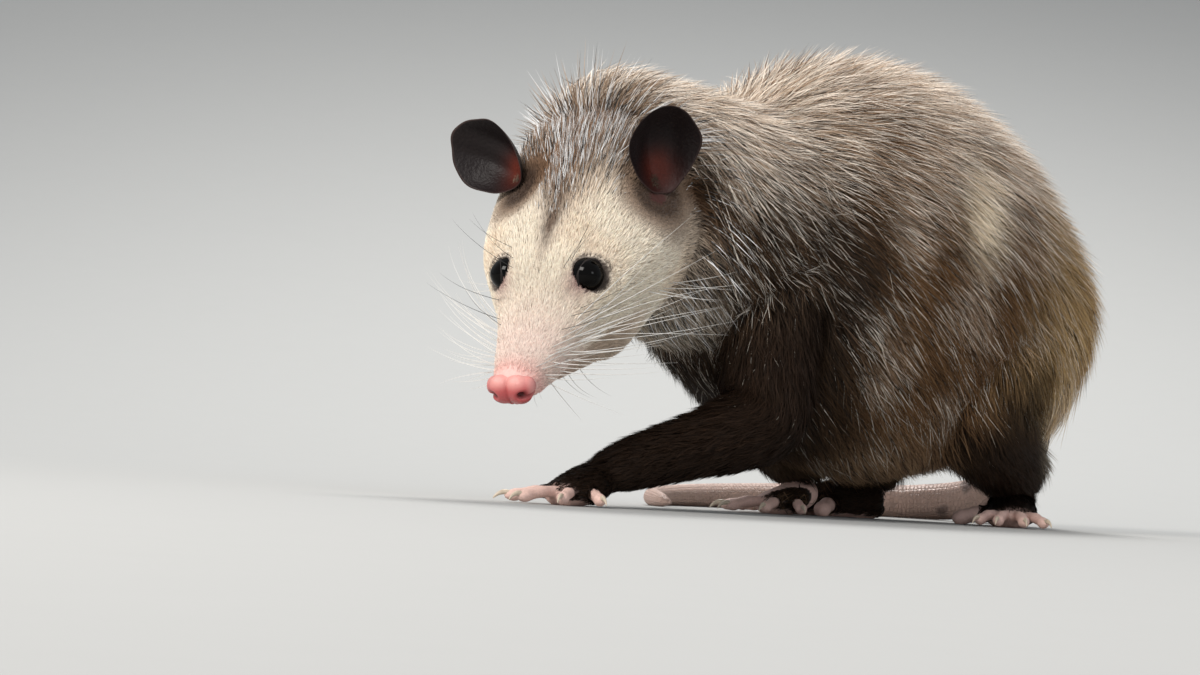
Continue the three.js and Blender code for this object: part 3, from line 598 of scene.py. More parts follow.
def markings(spots, coat):
    """The hair's own colour, with a painted glow on the long fringe behind the thighs, and the shares of
    white and of dark hairs at spots on the skin, in mm.
    """
    weight = coat["weight"]
    own = to_head(spots)
    x, y, z = own.T
    patch, fine = ripple(spots, 15), ripple(spots, 5, 1.7)
    limbs = sum(v for k, v in weight.items() if k not in ("torso", "neck", "head"))
    # Trunk: silvery buff back, brown flank, near black shoulder, brown rump, softer brown belly.
    back = soft(spots[:, 2], 135, 215)
    colour = mix(BROWN_UNDER, BACK_BUFF, np.clip(0.9 * back + 1.3 * (patch - 0.55), 0, 1))
    colour = mix(colour, RUMP_BROWN, soft(-spots[:, 0], 50, 110) * (1 - back) * 0.9)
    belly = 1 - soft(spots[:, 2], 38, 70)
    colour = mix(colour, BELLY_BROWN, belly)
    shoulder = soft(spots[:, 0], 14, 56) * (1 - soft(spots[:, 2], 125, 180))
    colour = mix(colour, SHOULDER_DARK, shoulder)
    leg_zone = np.clip(soft(-spots[:, 0], 66, 92) + soft(spots[:, 0], 0, 30), 0, 1)
    colour = mix(colour, np.array(LEG_DARK) * 1.4, leg_zone * (1 - soft(spots[:, 2], 46, 88)) * 0.85)
    off_hip = ((spots[:, 0] + 24) / 15) ** 2 + ((spots[:, 2] - 160) / 19) ** 2
    hip = np.exp(-(off_hip**1.5)) * (spots[:, 1] > 0)
    colour = mix(colour, HIP_PALE, 0.95 * hip)
    rear = soft(-spots[:, 0], 20, 70)
    white = 0.10 + (0.45 + 0.35 * rear) * back + 0.26 * (patch - 0.5) - 0.1 * belly - 0.05 * shoulder
    dark = (0.2 + 0.3 * shoulder - 0.12 * back - 0.1 * rear) * (1 - hip)
    # Head: cream, warmer on the cheek and pink to the nose, a brown stripe, brown round the ears.
    warm = soft(ripple(own, 17, 2.2), 0.35, 0.9) * soft(-x, -8, 16)
    face = mix(mix(CREAM, WARM_CREAM, 0.42 * warm), PINK_WHITE, soft(x, 6, 44))
    stripe_wide = np.interp(x, [-90, -46, -12, 14], [22, 11, 4.2, 2.2])
    stripe = np.exp(-((y / stripe_wide) ** 2)) * soft(-x, -16, 14) * (z > 0)
    face = mix(face, STRIPE, np.clip(stripe * (0.6 + 0.45 * fine), 0, 0.88))
    crown = soft(-x - 0.9 * np.abs(y), 8, 34) * soft(z, 2, 14)
    face = mix(face, CROWN_BROWN, crown * (0.6 + 0.4 * patch))
    ring = soft(27 - ear_distance(own), 0, 15)
    face = mix(face, TAN_BROWN, 0.8 * ring)
    face = mix(face, (0.045, 0.026, 0.018), 0.9 * soft(15 - ear_distance(own), 0, 7))
    behind = soft(-x, 48, 64) * (1 - soft(z, -4, 14))
    face = mix(face, TAN_BROWN, behind)
    eyes = EYE_SPOT * [[1, 1, 1], [1, -1, 1]]
    face = mix(face, (0.030, 0.016, 0.013), 0.93 * soft(8.8 - eye_gap(own), 0, 0.8))
    inner = sum(np.exp(-((((own - (e + (11, 0, 2))) / (8, 6, 6)) ** 2).sum(1))) for e in eyes)
    face = mix(face, (0.36, 0.19, 0.18), np.clip(inner * 0.8, 0, 0.8))
    face = mix(face, (0.86, 0.48, 0.43), 0.75 * soft(x, 46, 58))
    jaw = soft(-z, 22, 31) * soft(x, -16, 4) * (1 - soft(x, 38, 54))
    face = mix(face, (0.36, 0.22, 0.14), jaw * 0.55)
    # Neck: dark behind the cheek and below, silvery buff on the nape.
    nape = soft(spots[:, 2], 140, 185)
    neck = mix((0.060, 0.034, 0.018), BACK_BUFF, np.clip(nape + 0.3 * (patch - 0.5), 0, 1))
    throat = (1 - soft(spots[:, 2], 96, 118)) * soft(spots[:, 0], 92, 122)
    neck = mix(neck, (0.46, 0.38, 0.29), throat)
    colour = mix(colour, neck, weight["neck"])
    white = white * (1 - weight["neck"]) + (0.12 + 0.45 * nape + 0.3 * throat) * weight["neck"]
    dark = dark * (1 - weight["neck"]) + (0.4 - 0.26 * nape - 0.3 * throat) * weight["neck"]
    colour = mix(colour, face, weight["head"])
    crown = crown * (1 - soft(22 - ear_distance(own), 0, 8))
    white = white * (1 - weight["head"]) + (0.3 * crown) * weight["head"]
    dark = dark * (1 - weight["head"]) + (0.2 * crown) * weight["head"]
    colour = mix(colour, LEG_DARK, np.clip(limbs, 0, 1) * (1 - soft(spots[:, 2], 95, 140) * 0.6))
    # Behind the thighs the fringe is painted pale and whiter: partly the pale tips of its hair, partly a
    # painted glow of the light from behind.
    fringe = coat["fringe"]
    colour = mix(colour, HIP_PALE, 0.55 * fringe)
    white = white * (1 - limbs) + 0.02 * limbs + 0.55 * fringe
    dark = (dark * (1 - limbs) + 0.3 * limbs) * (1 - fringe)
    return colour, np.clip(white, 0, 1), np.clip(dark, 0, 1)


def paint(mesh, name, colours):
    layer = mesh.color_attributes.new(name, "FLOAT_COLOR", "POINT")
    full = np.ones((len(colours), 4))
    full[:, :3] = colours
    layer.data.foreach_set("color", full.ravel())


def new_material(
    name, roughness, bump_scale, bump_strength, attribute=None, colour=None, spread=0.1, **more
):
    """A finish with fine uneven colour and grain, of one colour or of a colour held on the mesh."""
    material = bpy.data.materials.new(name)
    material.use_nodes = True
    nodes, links = material.node_tree.nodes, material.node_tree.links
    shader = nodes["Principled BSDF"]
    shader.inputs["Roughness"].default_value = roughness
    for key, value in more.items():
        shader.inputs[key.replace("_", " ")].default_value = value
    where = nodes.new("ShaderNodeTexCoord")
    grain = nodes.new("ShaderNodeTexNoise")
    grain.inputs["Scale"].default_value = bump_scale
    grain.inputs["Detail"].default_value = 4
    links.new(where.outputs["Object"], grain.inputs["Vector"])
    tone = nodes.new("ShaderNodeMapRange")
    tone.inputs["To Min"].default_value = 1 - spread
    tone.inputs["To Max"].default_value = 1 + spread
    links.new(grain.outputs["Fac"], tone.inputs["Value"])
    scale = nodes.new("ShaderNodeVectorMath")
    scale.operation = "SCALE"
    if attribute:
        source = nodes.new("ShaderNodeAttribute")
        source.attribute_name = attribute
        links.new(source.outputs["Color"], scale.inputs[0])
    else:
        scale.inputs[0].default_value = colour
    links.new(tone.outputs["Result"], scale.inputs["Scale"])
    links.new(scale.outputs["Vector"], shader.inputs["Base Color"])
    if bump_strength:
        relief = nodes.new("ShaderNodeBump")
        relief.inputs["Strength"].default_value = bump_strength
        relief.inputs["Distance"].default_value = 0.001
        links.new(grain.outputs["Fac"], relief.inputs["Height"])
        links.new(relief.outputs["Normal"], shader.inputs["Normal"])
    return material


skin_spots = to_body(spots_of(skin_mesh))
skin_coat = coat_at(skin_spots)
skin_colour = markings(skin_spots, skin_coat)[0]
skin_head = to_head(skin_spots)
bare_nose = soft(skin_head[:, 0], 38, 58) * skin_coat["weight"]["head"]
# Under the body's coat the skin takes the hair's colour at 0.55, a painted shade, so that gaps in the coat
# read as deep fur in shadow; on the face it keeps the full colour.
shade = mix(skin_colour * 0.55, skin_colour, skin_coat["weight"]["head"])
shade = mix(shade, (0.78, 0.48, 0.43), bare_nose * 0.6)
# A dark line along the closed mouth, painted shade in the groove between the lips.
lip_line = np.interp(skin_head[:, 0], [-6, 1, 20, 45, 58], [-28.6, -27.6, -26.8, -26.2, -25.2])
in_mouth = np.exp(-(((skin_head[:, 2] - lip_line) / 1.0) ** 2)) * soft(skin_head[:, 0], -4, 2)
shade = mix(shade, (0.10, 0.045, 0.04), in_mouth * skin_coat["weight"]["head"] * 0.85)
hand_share = sum(skin_coat["weight"][k] for k in EXTREMITIES)


def bareness(spots):
    """The share of bare skin, from 0 on the furred back of a hand or foot to 1 on its digits and sole."""
    bare = np.zeros(len(spots))
    for plan, x, y, yaw, mirror in EXTREMITIES.values():
        c, s = math.cos(math.radians(yaw)), math.sin(math.radians(yaw))
        ahead = (spots[:, 0] - x) * c + (spots[:, 1] - y) * s
        aside = np.abs((spots[:, 1] - y) * c - (spots[:, 0] - x) * s)
        near = (np.abs(ahead) < 48) & (aside < 42) & (spots[:, 2] < 18)
        digit = np.maximum(soft(ahead, 13, 21), soft(aside, 13, 17) * soft(ahead, -10, -2))
        bare = np.maximum(bare, near * np.maximum(digit, 1 - soft(spots[:, 2], 2, 4)))
    return bare


DIGIT_SKIN = (0.74, 0.50, 0.43)
skin_bare = bareness(skin_spots)
ear_foot = soft(5.5 - ear_distance(skin_head), 0, 2) * skin_coat["weight"]["head"]
shade = mix(shade, (0.05, 0.012, 0.008), ear_foot)
shade = mix(shade, DIGIT_SKIN, skin_bare)
paint(skin_mesh, "skin_colour", shade)
skin_finish = new_material("opossum_skin", 0.62, 900, 0.35, attribute="skin_colour", spread=0.16)
skin_mesh.materials.append(skin_finish)
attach(skin, "root")
flesh_nodes = ["torso", "neck", "head", "jaw", "hand_left", "hand_right", "foot_left", "foot_right"]
for side in ("left", "right"):
    flesh_nodes += [part + side for part in ("upper_arm_", "forearm_", "thigh_", "shank_")]
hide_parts(*flesh_nodes)

# Eyes. Dark brown balls, all but black and wet, set in the sockets with a low bulge in front.
# Each stays a piece of its own, held by the lids.
eye_finish = new_material(
    "wet_dark_eye", 0.04, 300, 0, colour=(0.0012, 0.0008, 0.0006), spread=0.2, IOR=1.22
)
for side, sign in (("left", 1), ("right", -1)):
    ball = bmesh.new()
    verts = bmesh.ops.create_uvsphere(ball, u_segments=48, v_segments=32, radius=1)["verts"]
    look = EYE_LOOK * (1, sign, 1)
    away = np.array([v.co for v in verts], float)
    off = np.arccos(np.clip(away @ look, -1, 1))
    lifted = away * (EYE_RADIUS + 0.55 * np.exp(-(off / 0.55) ** 2))[:, None]
    for v, spot in zip(verts, to_model(from_head(lifted + EYE_SPOT * (1, sign, 1)))):
        v.co = spot
    eye = placed("eye_ball_" + side, mesh_of(ball, "eye_ball_" + side))
    eye.data.materials.append(eye_finish)
    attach(eye, "root")
    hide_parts("eye_" + side)

# Eyelids. Thin dark rims of bare skin, drawn to a corner towards the nose. Each closes round its eye and is
# one with the skin of the face in life.
lid_finish = new_material(
    "lid_skin", 0.5, 1400, 0.3, colour=(0.012, 0.008, 0.007), spread=0.3, Specular_IOR_Level=0.25,
)
for side, sign in (("left", 1), ("right", -1)):
    rim = bmesh.new()
    profile = bmesh.ops.create_circle(rim, segments=12, radius=1.0)["verts"]
    for v in profile:
        v.co = Vector((7.0 + 0.7 * v.co.x, 0, 0.9 * v.co.y))
    bmesh.ops.spin(
        rim, geom=rim.verts[:] + rim.edges[:], cent=(0, 0, 0), axis=(0, 0, 1),
        angle=2 * math.pi, steps=56, use_merge=True,
    )
    bmesh.ops.remove_doubles(rim, verts=rim.verts, dist=1e-4)
    look = EYE_LOOK * (1, sign, 1)
    nose_way = unit(np.array([1.0, 0, -0.25]) - look * (look @ np.array([1.0, 0, -0.25])))
    up_way = np.cross(nose_way, look) * -sign
    flat = np.array([v.co for v in rim.verts], float)
    corner = np.exp(-((np.arctan2(flat[:, 1], flat[:, 0]) / 0.42) ** 2))
    reach = flat[:, 0] * (1 + 0.16 * corner)
    tall = flat[:, 1] * 0.92
    stand = 3.3 + flat[:, 2] - 0.9 * corner
    place = EYE_SPOT * (1, sign, 1) + look * stand[:, None]
    place = place + nose_way * reach[:, None] + up_way * tall[:, None]
    for v, spot in zip(rim.verts, to_model(from_head(place))):
        v.co = spot
    lids = placed("eyelids_" + side, mesh_of(rim, "eyelids_" + side))
    lids.data.materials.append(lid_finish)
    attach(lids, "root")

# Nose. The bare moist pad at the muzzle's end: two round lobes parted by a groove, with a nostril like a
# comma in the side of each.
pad = bmesh.new()
for x, y, z, rx, ry, rz in (
    (57.5, 0, -18.3, 6.8, 10.2, 7.2),
    (59.8, 4.0, -17.4, 5.2, 6.4, 7.2),
    (59.8, -4.0, -17.4, 5.2, 6.4, 7.2),
    (58.4, 7.8, -16.8, 4.4, 3.8, 4.8),
    (58.4, -7.8, -16.8, 4.4, 3.8, 4.8),
    (58.5, 0, -22.4, 4.0, 5.6, 3.6),
):
    made = bmesh.ops.create_uvsphere(pad, u_segments=28, v_segments=20, radius=1)["verts"]
    for v in made:
        v.co = Vector(to_model(from_head([[x + v.co.x * rx, y + v.co.y * ry, z + v.co.z * rz]]))[0])
nose = one_surface("nose_pad", pad, 0.00045, 16)
spots = to_head(to_body(spots_of(nose.data)))
middle = np.array([56.0, 0.0, -18.0])
out = unit(spots - middle)
push = -0.5 * np.exp(-((spots[:, 1] / 0.6) ** 2)) * soft(spots[:, 0], 58, 62)
for sign in (1, -1):
    hole = ((spots - (63.6, sign * 7.2, -17.6)) / (3.2, 2.1, 1.9)) ** 2
    slit = ((spots - (61.0, sign * 9.8, -19.4)) / (3.4, 2.6, 0.9)) ** 2
    push -= 3.4 * np.exp(-hole.sum(1) ** 1.5) + 1.6 * np.exp(-slit.sum(1))
spots = spots + out * push[:, None]
set_spots(nose.data, to_model(from_head(spots)))
# The nostrils' dents are painted near black by their depth, a painted shade in them.
depth = np.clip(-push / 2.4, 0, 1)
# The pad is red pink, paler towards the top, a painted highlight, and darker red at the bottom, a painted
# shade; its sides blend into the muzzle's paler pink.
pink = mix((0.60, 0.11, 0.11), (0.84, 0.38, 0.34), soft(spots[:, 2], -15.5, -10.5))
pink = mix(pink, (0.42, 0.05, 0.05), soft(-spots[:, 2], 18.5, 23) * 0.7)
pink = mix(pink, (0.86, 0.56, 0.50), soft(np.abs(spots[:, 1]), 8.5, 11.5) * 0.4)
paint(nose.data, "nose_colour", mix(pink, (0.10, 0.015, 0.015), depth**1.3))
nose.data.polygons.foreach_set("use_smooth", np.ones(len(nose.data.polygons), bool))
nose.data.materials.append(
    new_material("nose_skin", 0.26, 2600, 0.35, attribute="nose_colour", spread=0.06)
)
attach(nose, "root")
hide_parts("nose")

# Ears. Thin bare black leaves, cupped and a little crumpled at the rim, rooted at the back of the head. The
# canal at the foot of each cup is dark red brown.
EARS = {
    "left": ([-51, 37, 5], [-0.32, 0.17, 0.93], [0.75, 0.6, 0.1]),
    "right": ([-45, -25, 16], [-0.5, -0.84, 0.26], [0.85, -0.1, 0.5]),
}
EAR_LENGTH, EAR_WIDTH, EAR_CUP, EAR_THICK = 44.0, 34.0, 12.0, 1.3
ear_finish = new_material(
    "ear_skin", 0.5, 700, 0.45, attribute="ear_colour", spread=0.25, Specular_IOR_Level=0.25
)
for side, (root, along, facing) in EARS.items():
    leaf = bmesh.new()
    verts = bmesh.ops.create_uvsphere(leaf, u_segments=72, v_segments=48, radius=1)["verts"]
    ball = np.array([v.co for v in verts], float)
    angle = np.arctan2(ball[:, 1], ball[:, 0])
    turn = np.arccos(np.clip(ball[:, 2], -1, 1)) / math.pi
    share = np.where(turn <= 0.5, turn, 1 - turn) * 2
    reach = 0.5 + 0.5 * share * np.cos(angle)
    narrow = 0.62 + 0.38 * np.sin(np.minimum(1, reach * 1.25) * math.pi * 0.62)
    wide = share * np.sin(angle) * EAR_WIDTH * narrow / 2
    bowl = -EAR_CUP * (1 - share**2.2) * (1.25 - 0.5 * reach)
    thick = EAR_THICK / 2 * np.sqrt(np.maximum(0, 1 - share**6))
    skin_side = np.where(turn <= 0.5, -thick, thick)
    rim = share**6
    crumple = rim * (0.6 * np.sin(angle * 5 + 1) + 0.25 * np.sin(angle * 9 + 2))
    folds = 0.5 * np.sin(wide * 0.55 + 2 * reach) * (1 - rim) * (turn > 0.5)
    length = unit(np.array(along))
    front = np.array(facing)
    front = unit(front - length * (front @ length))
    across = np.cross(length, front)
    lift = bowl + skin_side + 2.5 * share**2 * np.cos(angle) + EAR_CUP / 2 + crumple * 0.6 + folds
    spots = (
        np.array(root)
        + length * (reach * EAR_LENGTH + 0.5 * crumple * np.cos(angle))[:, None]
        + across * (wide + 0.5 * crumple * np.sin(angle))[:, None]
        + front * lift[:, None]
    )
    for v, spot in zip(verts, to_model(from_head(spots))):
        v.co = spot
    ear = placed("ear_leaf_" + side, mesh_of(leaf, "ear_leaf_" + side))
    inner = (turn > 0.5) * 1.0
    canal = np.exp(-(((reach - 0.24) / 0.17) ** 2 + (wide / 6.5) ** 2)) * inner
    colour = mix((0.006, 0.004, 0.004), (0.010, 0.005, 0.005), inner * 0.7)
    colour = mix(colour, (0.11, 0.018, 0.009), np.clip(canal * 1.1, 0, 1))
    colour = mix(colour, (0.12, 0.07, 0.06), soft(share, 0.97, 1.0) * 0.5)
    paint(ear.data, "ear_colour", colour)
    ear.data.materials.append(ear_finish)
    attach(ear, "root")
    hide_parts("ear_" + side)

# Claws. Small curved points of pale horn, one rooted over the tip of every digit but the thumb-like inner
# toe of the feet.
CLAW_LENGTH = 7.5
claw_finish = new_material("claw_horn", 0.3, 500, 0.15, colour=(0.62, 0.52, 0.40), spread=0.2)
for name, (plan, x, y, yaw, mirror) in EXTREMITIES.items():
    horns = bmesh.new()
    for start, turned, reach in digits_of(plan, mirror):
        c, s = math.cos(math.radians(turned)), math.sin(math.radians(turned))
        sections = [
            [start[0] + c * (reach + d), start[1] + s * (reach + d), z, w, h]
            for d, z, w, h in (
                (-4, 3.7, 0, 0), (-2.6, 4.1, 1.0, 1.2), (0.2, 4.4, 0.95, 1.15),
                (2.6, 3.5, 0.65, 0.85), (4.2, 2.2, 0.36, 0.5), (CLAW_LENGTH - 2.6, 1.2, 0, 0),
            )
        ]
        aim = math.radians(turned + yaw)
        add_length(horns, Length(on_foot(sections, x, y, yaw), (-math.sin(aim), math.cos(aim), 0)), 10, 16)
    claws = placed(name + "_claws", mesh_of(horns, name + "_claws"))
    claws.data.materials.append(claw_finish)
    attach(claws, "root")
    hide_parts(*[f"{name}_claw_{i + 1}" for i in range(len(plan["spread"]))])

# Tail. Bare and scaly, as thick as a thumb at the rump and thin at the tip, black for its first quarter and
# pinkish white beyond. It comes down behind the rump and lies forward along the far side on the floor.
TAIL_LINE = [
    [-136, 0, 76, 15], [-160, -5, 58, 13.5], [-174, -20, 34, 12], [-178, -48, 15, 10.6],
    [-164, -82, 9, 9.4], [-126, -108, 8, 8.2], [-78, -118, 7, 7], [-28, -114, 5.8, 5.9],
    [14, -96, 4.6, 4.7], [36, -66, 3.4, 3.4],
]
tail_length = Length(
    [[-122, 0, 84, 0, 0, 0], *[[x, y, z, r, r] for x, y, z, r in TAIL_LINE], [36, -58, 2.2, 0, 0, 0]],
    (0, 0, 1),
)
tail_bm = bmesh.new()
verts = bmesh.ops.create_uvsphere(tail_bm, u_segments=48, v_segments=420, radius=1)["verts"]
ball = np.array([v.co for v in verts], float)
turn, angle = np.arccos(np.clip(ball[:, 2], -1, 1)), np.arctan2(ball[:, 1], ball[:, 0])
gone = tail_length.total * (1 - np.cos(turn)) / 2
ring = 0.16 * np.abs(np.sin(math.pi * gone / 2.5))
spots = tail_length.place(turn, angle, ring)
spots[:, 2] = np.maximum(spots[:, 2], 0.15)
for v, spot in zip(verts, to_model(spots)):
    v.co = spot
tail_mesh = mesh_of(tail_bm, "tail_skin")
edge = 84 + 7 * np.sin(angle * 2 + 1) + 4 * np.sin(angle * 5)
tail_colour = mix((0.022, 0.016, 0.015), (0.62, 0.43, 0.36), soft(gone, edge - 5, edge + 5))
blotch = soft(ripple(spots, 6, 0.6), 0.62, 0.8) * soft(gone, 80, 100) * (1 - soft(gone, 130, 190))
paint(tail_mesh, "tail_colour", mix(tail_colour, (0.08, 0.055, 0.05), blotch * 0.7))
round_layer = tail_mesh.attributes.new("round_and_along", "FLOAT_VECTOR", "POINT")
girth = np.stack([np.cos(angle) * 9, np.sin(angle) * 9, gone], -1)
round_layer.data.foreach_set("vector", girth.ravel())
tail = placed("tail_skin", tail_mesh)
tail_finish = new_material("tail_scales", 0.5, 600, 0, attribute="tail_colour", spread=0.14)
nodes, links = tail_finish.node_tree.nodes, tail_finish.node_tree.links
lay = nodes.new("ShaderNodeAttribute")
lay.attribute_name = "round_and_along"
scales = nodes.new("ShaderNodeTexVoronoi")
scales.feature = "DISTANCE_TO_EDGE"
scales.inputs["Scale"].default_value = 0.42
scales.inputs["Randomness"].default_value = 0.35
links.new(lay.outputs["Vector"], scales.inputs["Vector"])
flat_top = nodes.new("ShaderNodeMapRange")
flat_top.inputs["From Max"].default_value = 0.16
links.new(scales.outputs["Distance"], flat_top.inputs["Value"])
relief = nodes.new("ShaderNodeBump")
relief.inputs["Strength"].default_value = 0.8
relief.inputs["Distance"].default_value = 0.0007
links.new(flat_top.outputs["Result"], relief.inputs["Height"])
links.new(relief.outputs["Normal"], nodes["Principled BSDF"].inputs["Normal"])
tail_mesh.materials.append(tail_finish)
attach(tail, "root")
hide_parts("tail_base", "tail_middle", "tail_end")

# Coat. Long coarse guard hairs, white, dark or brown, stand out of a dense brown underfur on body and neck
# and lie back and down with the body's slope. Every tuft is a thin tapered blade rooted in the skin, and
# neighbours lean together at their tips, as real hair does.
skin_mesh.calc_loop_triangles()
corners = read(skin_mesh.loop_triangles, "vertices", 3, int)
corner_spots = skin_spots[corners]
face_cross = np.cross(corner_spots[:, 1] - corner_spots[:, 0], corner_spots[:, 2] - corner_spots[:, 0])
face_area = np.linalg.norm(face_cross, axis=1) / 2
skin_normal = read(skin_mesh.vertices, "normal", 3)
skin_tree = BVHTree.FromPolygons([Vector(p) for p in skin_spots], corners.tolist())
edges = read(skin_mesh.edges, "vertices", 2, int)
skin_flow = skin_coat["flow"]
skin_flow = unit(skin_flow - skin_normal * (skin_flow * skin_normal).sum(1)[:, None])
for _ in range(8):
    shared = skin_flow.copy()
    for axis in range(3):
        shared[:, axis] += np.bincount(edges[:, 0], skin_flow[edges[:, 1], axis], len(skin_flow))
        shared[:, axis] += np.bincount(edges[:, 1], skin_flow[edges[:, 0], axis], len(skin_flow))
    skin_flow = unit(shared - skin_normal * (shared * skin_normal).sum(1)[:, None])
face_flow = unit(skin_flow[corners].sum(1))
face_normal = unit(skin_normal[corners].sum(1))
skin_weight = skin_coat["weight"]
BURIED, SOLE = 0.86, 1.0
in_flesh = skin_coat["inside"][corners].mean(1) < BURIED
face_buried = in_flesh | (corner_spots[:, :, 2].mean(1) < SOLE)
chance = np.random.default_rng(4)
thick = 1.0
skin_known = np.column_stack([
    skin_spots, skin_normal, skin_flow, skin_coat["long"], skin_coat["deep"],
    *markings(skin_spots, skin_coat),
])

ATLAS = {
    "torso": (0.01, 0.01, 0.60, 0.60), "neck": (0.62, 0.01, 0.37, 0.45), "head": (0.01, 0.62, 0.45, 0.37),
}
for i, name in enumerate(n for n in lengths if n not in ATLAS):
    ATLAS[name] = (0.48 + 0.085 * (i % 6), 0.62 + 0.19 * (i // 6), 0.078, 0.17)
TUFT_PATCH = 0.003


def sprout(density, count):
    """Random roots on the skin, by the faces' area and density, and what the skin knows there."""
    share = np.cumsum(face_area * np.where(face_buried, 0, density[corners].mean(1)))
    picked = np.searchsorted(share, chance.random(int(count * thick)) * share[-1])
    a, b = chance.random((2, len(picked)))
    over = a + b > 1
    a, b = np.where(over, 1 - a, a), np.where(over, 1 - b, b)
    w = np.stack([1 - a - b, a, b], -1)[:, :, None]
    known = (skin_known[corners[picked]] * w).sum(1)
    return {
        "spot": known[:, 0:3], "normal": unit(known[:, 3:6]), "flow": unit(known[:, 6:9]),
        "long": known[:, 9], "deep": known[:, 10], "own": known[:, 11:14], "white": known[:, 14],
        "dark": known[:, 15], "label": skin_coat["label"][corners[picked, 0]],
    }


def on_skin(spots):
    """The nearest spots of the skin, with the normal and the lie of the hair there."""
    found = [skin_tree.find_nearest(Vector(p)) for p in spots]
    index = np.array([f[2] for f in found])
    return np.array([f[0] for f in found]), face_normal[index], face_flow[index]


def bake_place(root):
    """Each root's place on the unwrapped skin: its turn along its own length by its angle round it."""
    place = np.zeros((len(root["spot"]), 2))
    for i, (name, length) in enumerate(lengths.items()):
        own = np.flatnonzero(root["label"] == i)
        if len(own):
            turn, angle, _ = length.locate(root["spot"][own])
            low_u, low_v, wide, tall = ATLAS[name]
            place[own, 0] = low_u + (angle / (2 * math.pi) + 0.5) * (wide - TUFT_PATCH)
            place[own, 1] = low_v + turn / math.pi * (tall - TUFT_PATCH)
    return place


hair_finish = new_material(
    "hair", 0.55, 260, 0, attribute="hair_colour", spread=0.12, Specular_IOR_Level=0.1
)


def grow_hair(
    name, root, long, deep, width, steps, colours, clump, pull, stray, follow=True
):
    """Tapered blades that rise from the roots along the skin's lie, coloured at root, middle and tip."""
    spot, lift, flow = root["spot"], root["normal"], root["flow"]
    count = len(spot)
    swing = chance.normal(0, stray, count) * np.where(chance.random(count) > 0.85, 2.2, 1)
    path, base = [spot - lift * 0.8], spot
    shares = np.linspace(0, 1, steps + 1)[1:]
    run = np.sqrt(np.maximum(long**2 - deep**2, (0.35 * long) ** 2)) / steps
    for share in shares:
        flat = unit(flow - lift * (flow * lift).sum(1)[:, None])
        flat = unit(flat + np.cross(lift, flat) * swing[:, None])
        base = base + flat * run[:, None]
        if follow:
            base, lift, flow = on_skin(base)
        path.append(base + lift * (deep * share**0.7)[:, None])
    path = np.array(path)
    centres = chance.choice(count, max(1, count // clump), replace=False)
    tree = KDTree(len(centres))
    for i, c in enumerate(centres):
        tree.insert(spot[c], i)
    tree.balance()
    mate = centres[[tree.find(p)[1] for p in spot]]
    grip = np.clip(pull * (0.4 + 1.2 * chance.random(count)), 0, 0.95)
    for k, share in enumerate(shares, 1):
        goal = path[k][mate] + (spot - spot[mate]) * 0.15
        path[k] += (goal - path[k]) * (grip * share**1.4)[:, None]
    path[:, :, 2] = np.maximum(path[:, :, 2], 0.6)
    ahead = unit(np.diff(path, axis=0))
    ahead = np.concatenate([ahead, ahead[-1:]])
    tilt = chance.normal(0, 0.5, count)
    sideways = unit(np.cross(ahead, lift[None]))
    blade = sideways * np.cos(tilt)[None, :, None] + np.cross(sideways, ahead) * np.sin(tilt)[None, :, None]
    taper = np.interp(np.linspace(0, 1, steps + 1), [0, 0.3, 0.7, 1], [0.75, 1, 0.75, 0])
    half = blade[:-1] * (width[None, :] * taper[:-1, None] / 2)[:, :, None]
    rows = np.stack([path[:-1] - half, path[:-1] + half], 2)
    each = 2 * steps + 1
    spots = np.empty((count, each, 3))
    spots[:, : 2 * steps] = rows.transpose(1, 0, 2, 3).reshape(count, 2 * steps, 3)
    spots[:, -1] = path[-1]
    quads = np.array([[2 * k, 2 * k + 1, 2 * k + 3, 2 * k + 2] for k in range(steps - 1)]).reshape(-1, 4)
    start = (np.arange(count) * each)[:, None, None]
    quad_corners = (quads[None] + start).reshape(count, -1)
    tip_corners = (np.array([[2 * steps - 2, 2 * steps - 1, 2 * steps]])[None] + start).reshape(count, -1)
    loops = np.concatenate([quad_corners, tip_corners], 1).ravel()
    sizes = np.tile([4] * (steps - 1) + [3], count)
    mesh = bpy.data.meshes.new(name)
    mesh.vertices.add(count * each)
    mesh.loops.add(len(loops))
    mesh.polygons.add(len(sizes))
    mesh.vertices.foreach_set("co", to_model(spots.reshape(-1, 3)).ravel())
    mesh.loops.foreach_set("vertex_index", loops)
    mesh.polygons.foreach_set("loop_start", np.r_[0, np.cumsum(sizes)[:-1]])
    mesh.update(calc_edges=True)
    row_share = np.r_[np.repeat(np.linspace(0, 1, steps + 1)[:-1], 2), 1.0]
    root_c, middle_c, tip_c = [np.asarray(c)[:, None, :] for c in colours]
    s = row_share[None, :, None]
    lower = root_c + (middle_c - root_c) * s * 2
    upper = middle_c + (tip_c - middle_c) * (s * 2 - 1)
    hair = np.where(s < 0.5, lower, upper)
    paint(mesh, "hair_colour", hair.reshape(-1, 3))
    patch = np.stack([np.r_[np.tile([0.0, 1.0], steps), 0.5], row_share], -1) * TUFT_PATCH
    uv = (bake_place(root)[:, None] + patch[None]).reshape(-1, 2)
    mesh.uv_layers.new(name="OFBake").data.foreach_set("uv", uv[loops].ravel())
    mesh.materials.append(hair_finish)
    piece = placed(name, mesh)
    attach(piece, "root")


def vary(count, amount):
    return 1 + amount * chance.uniform(-1, 1, count)


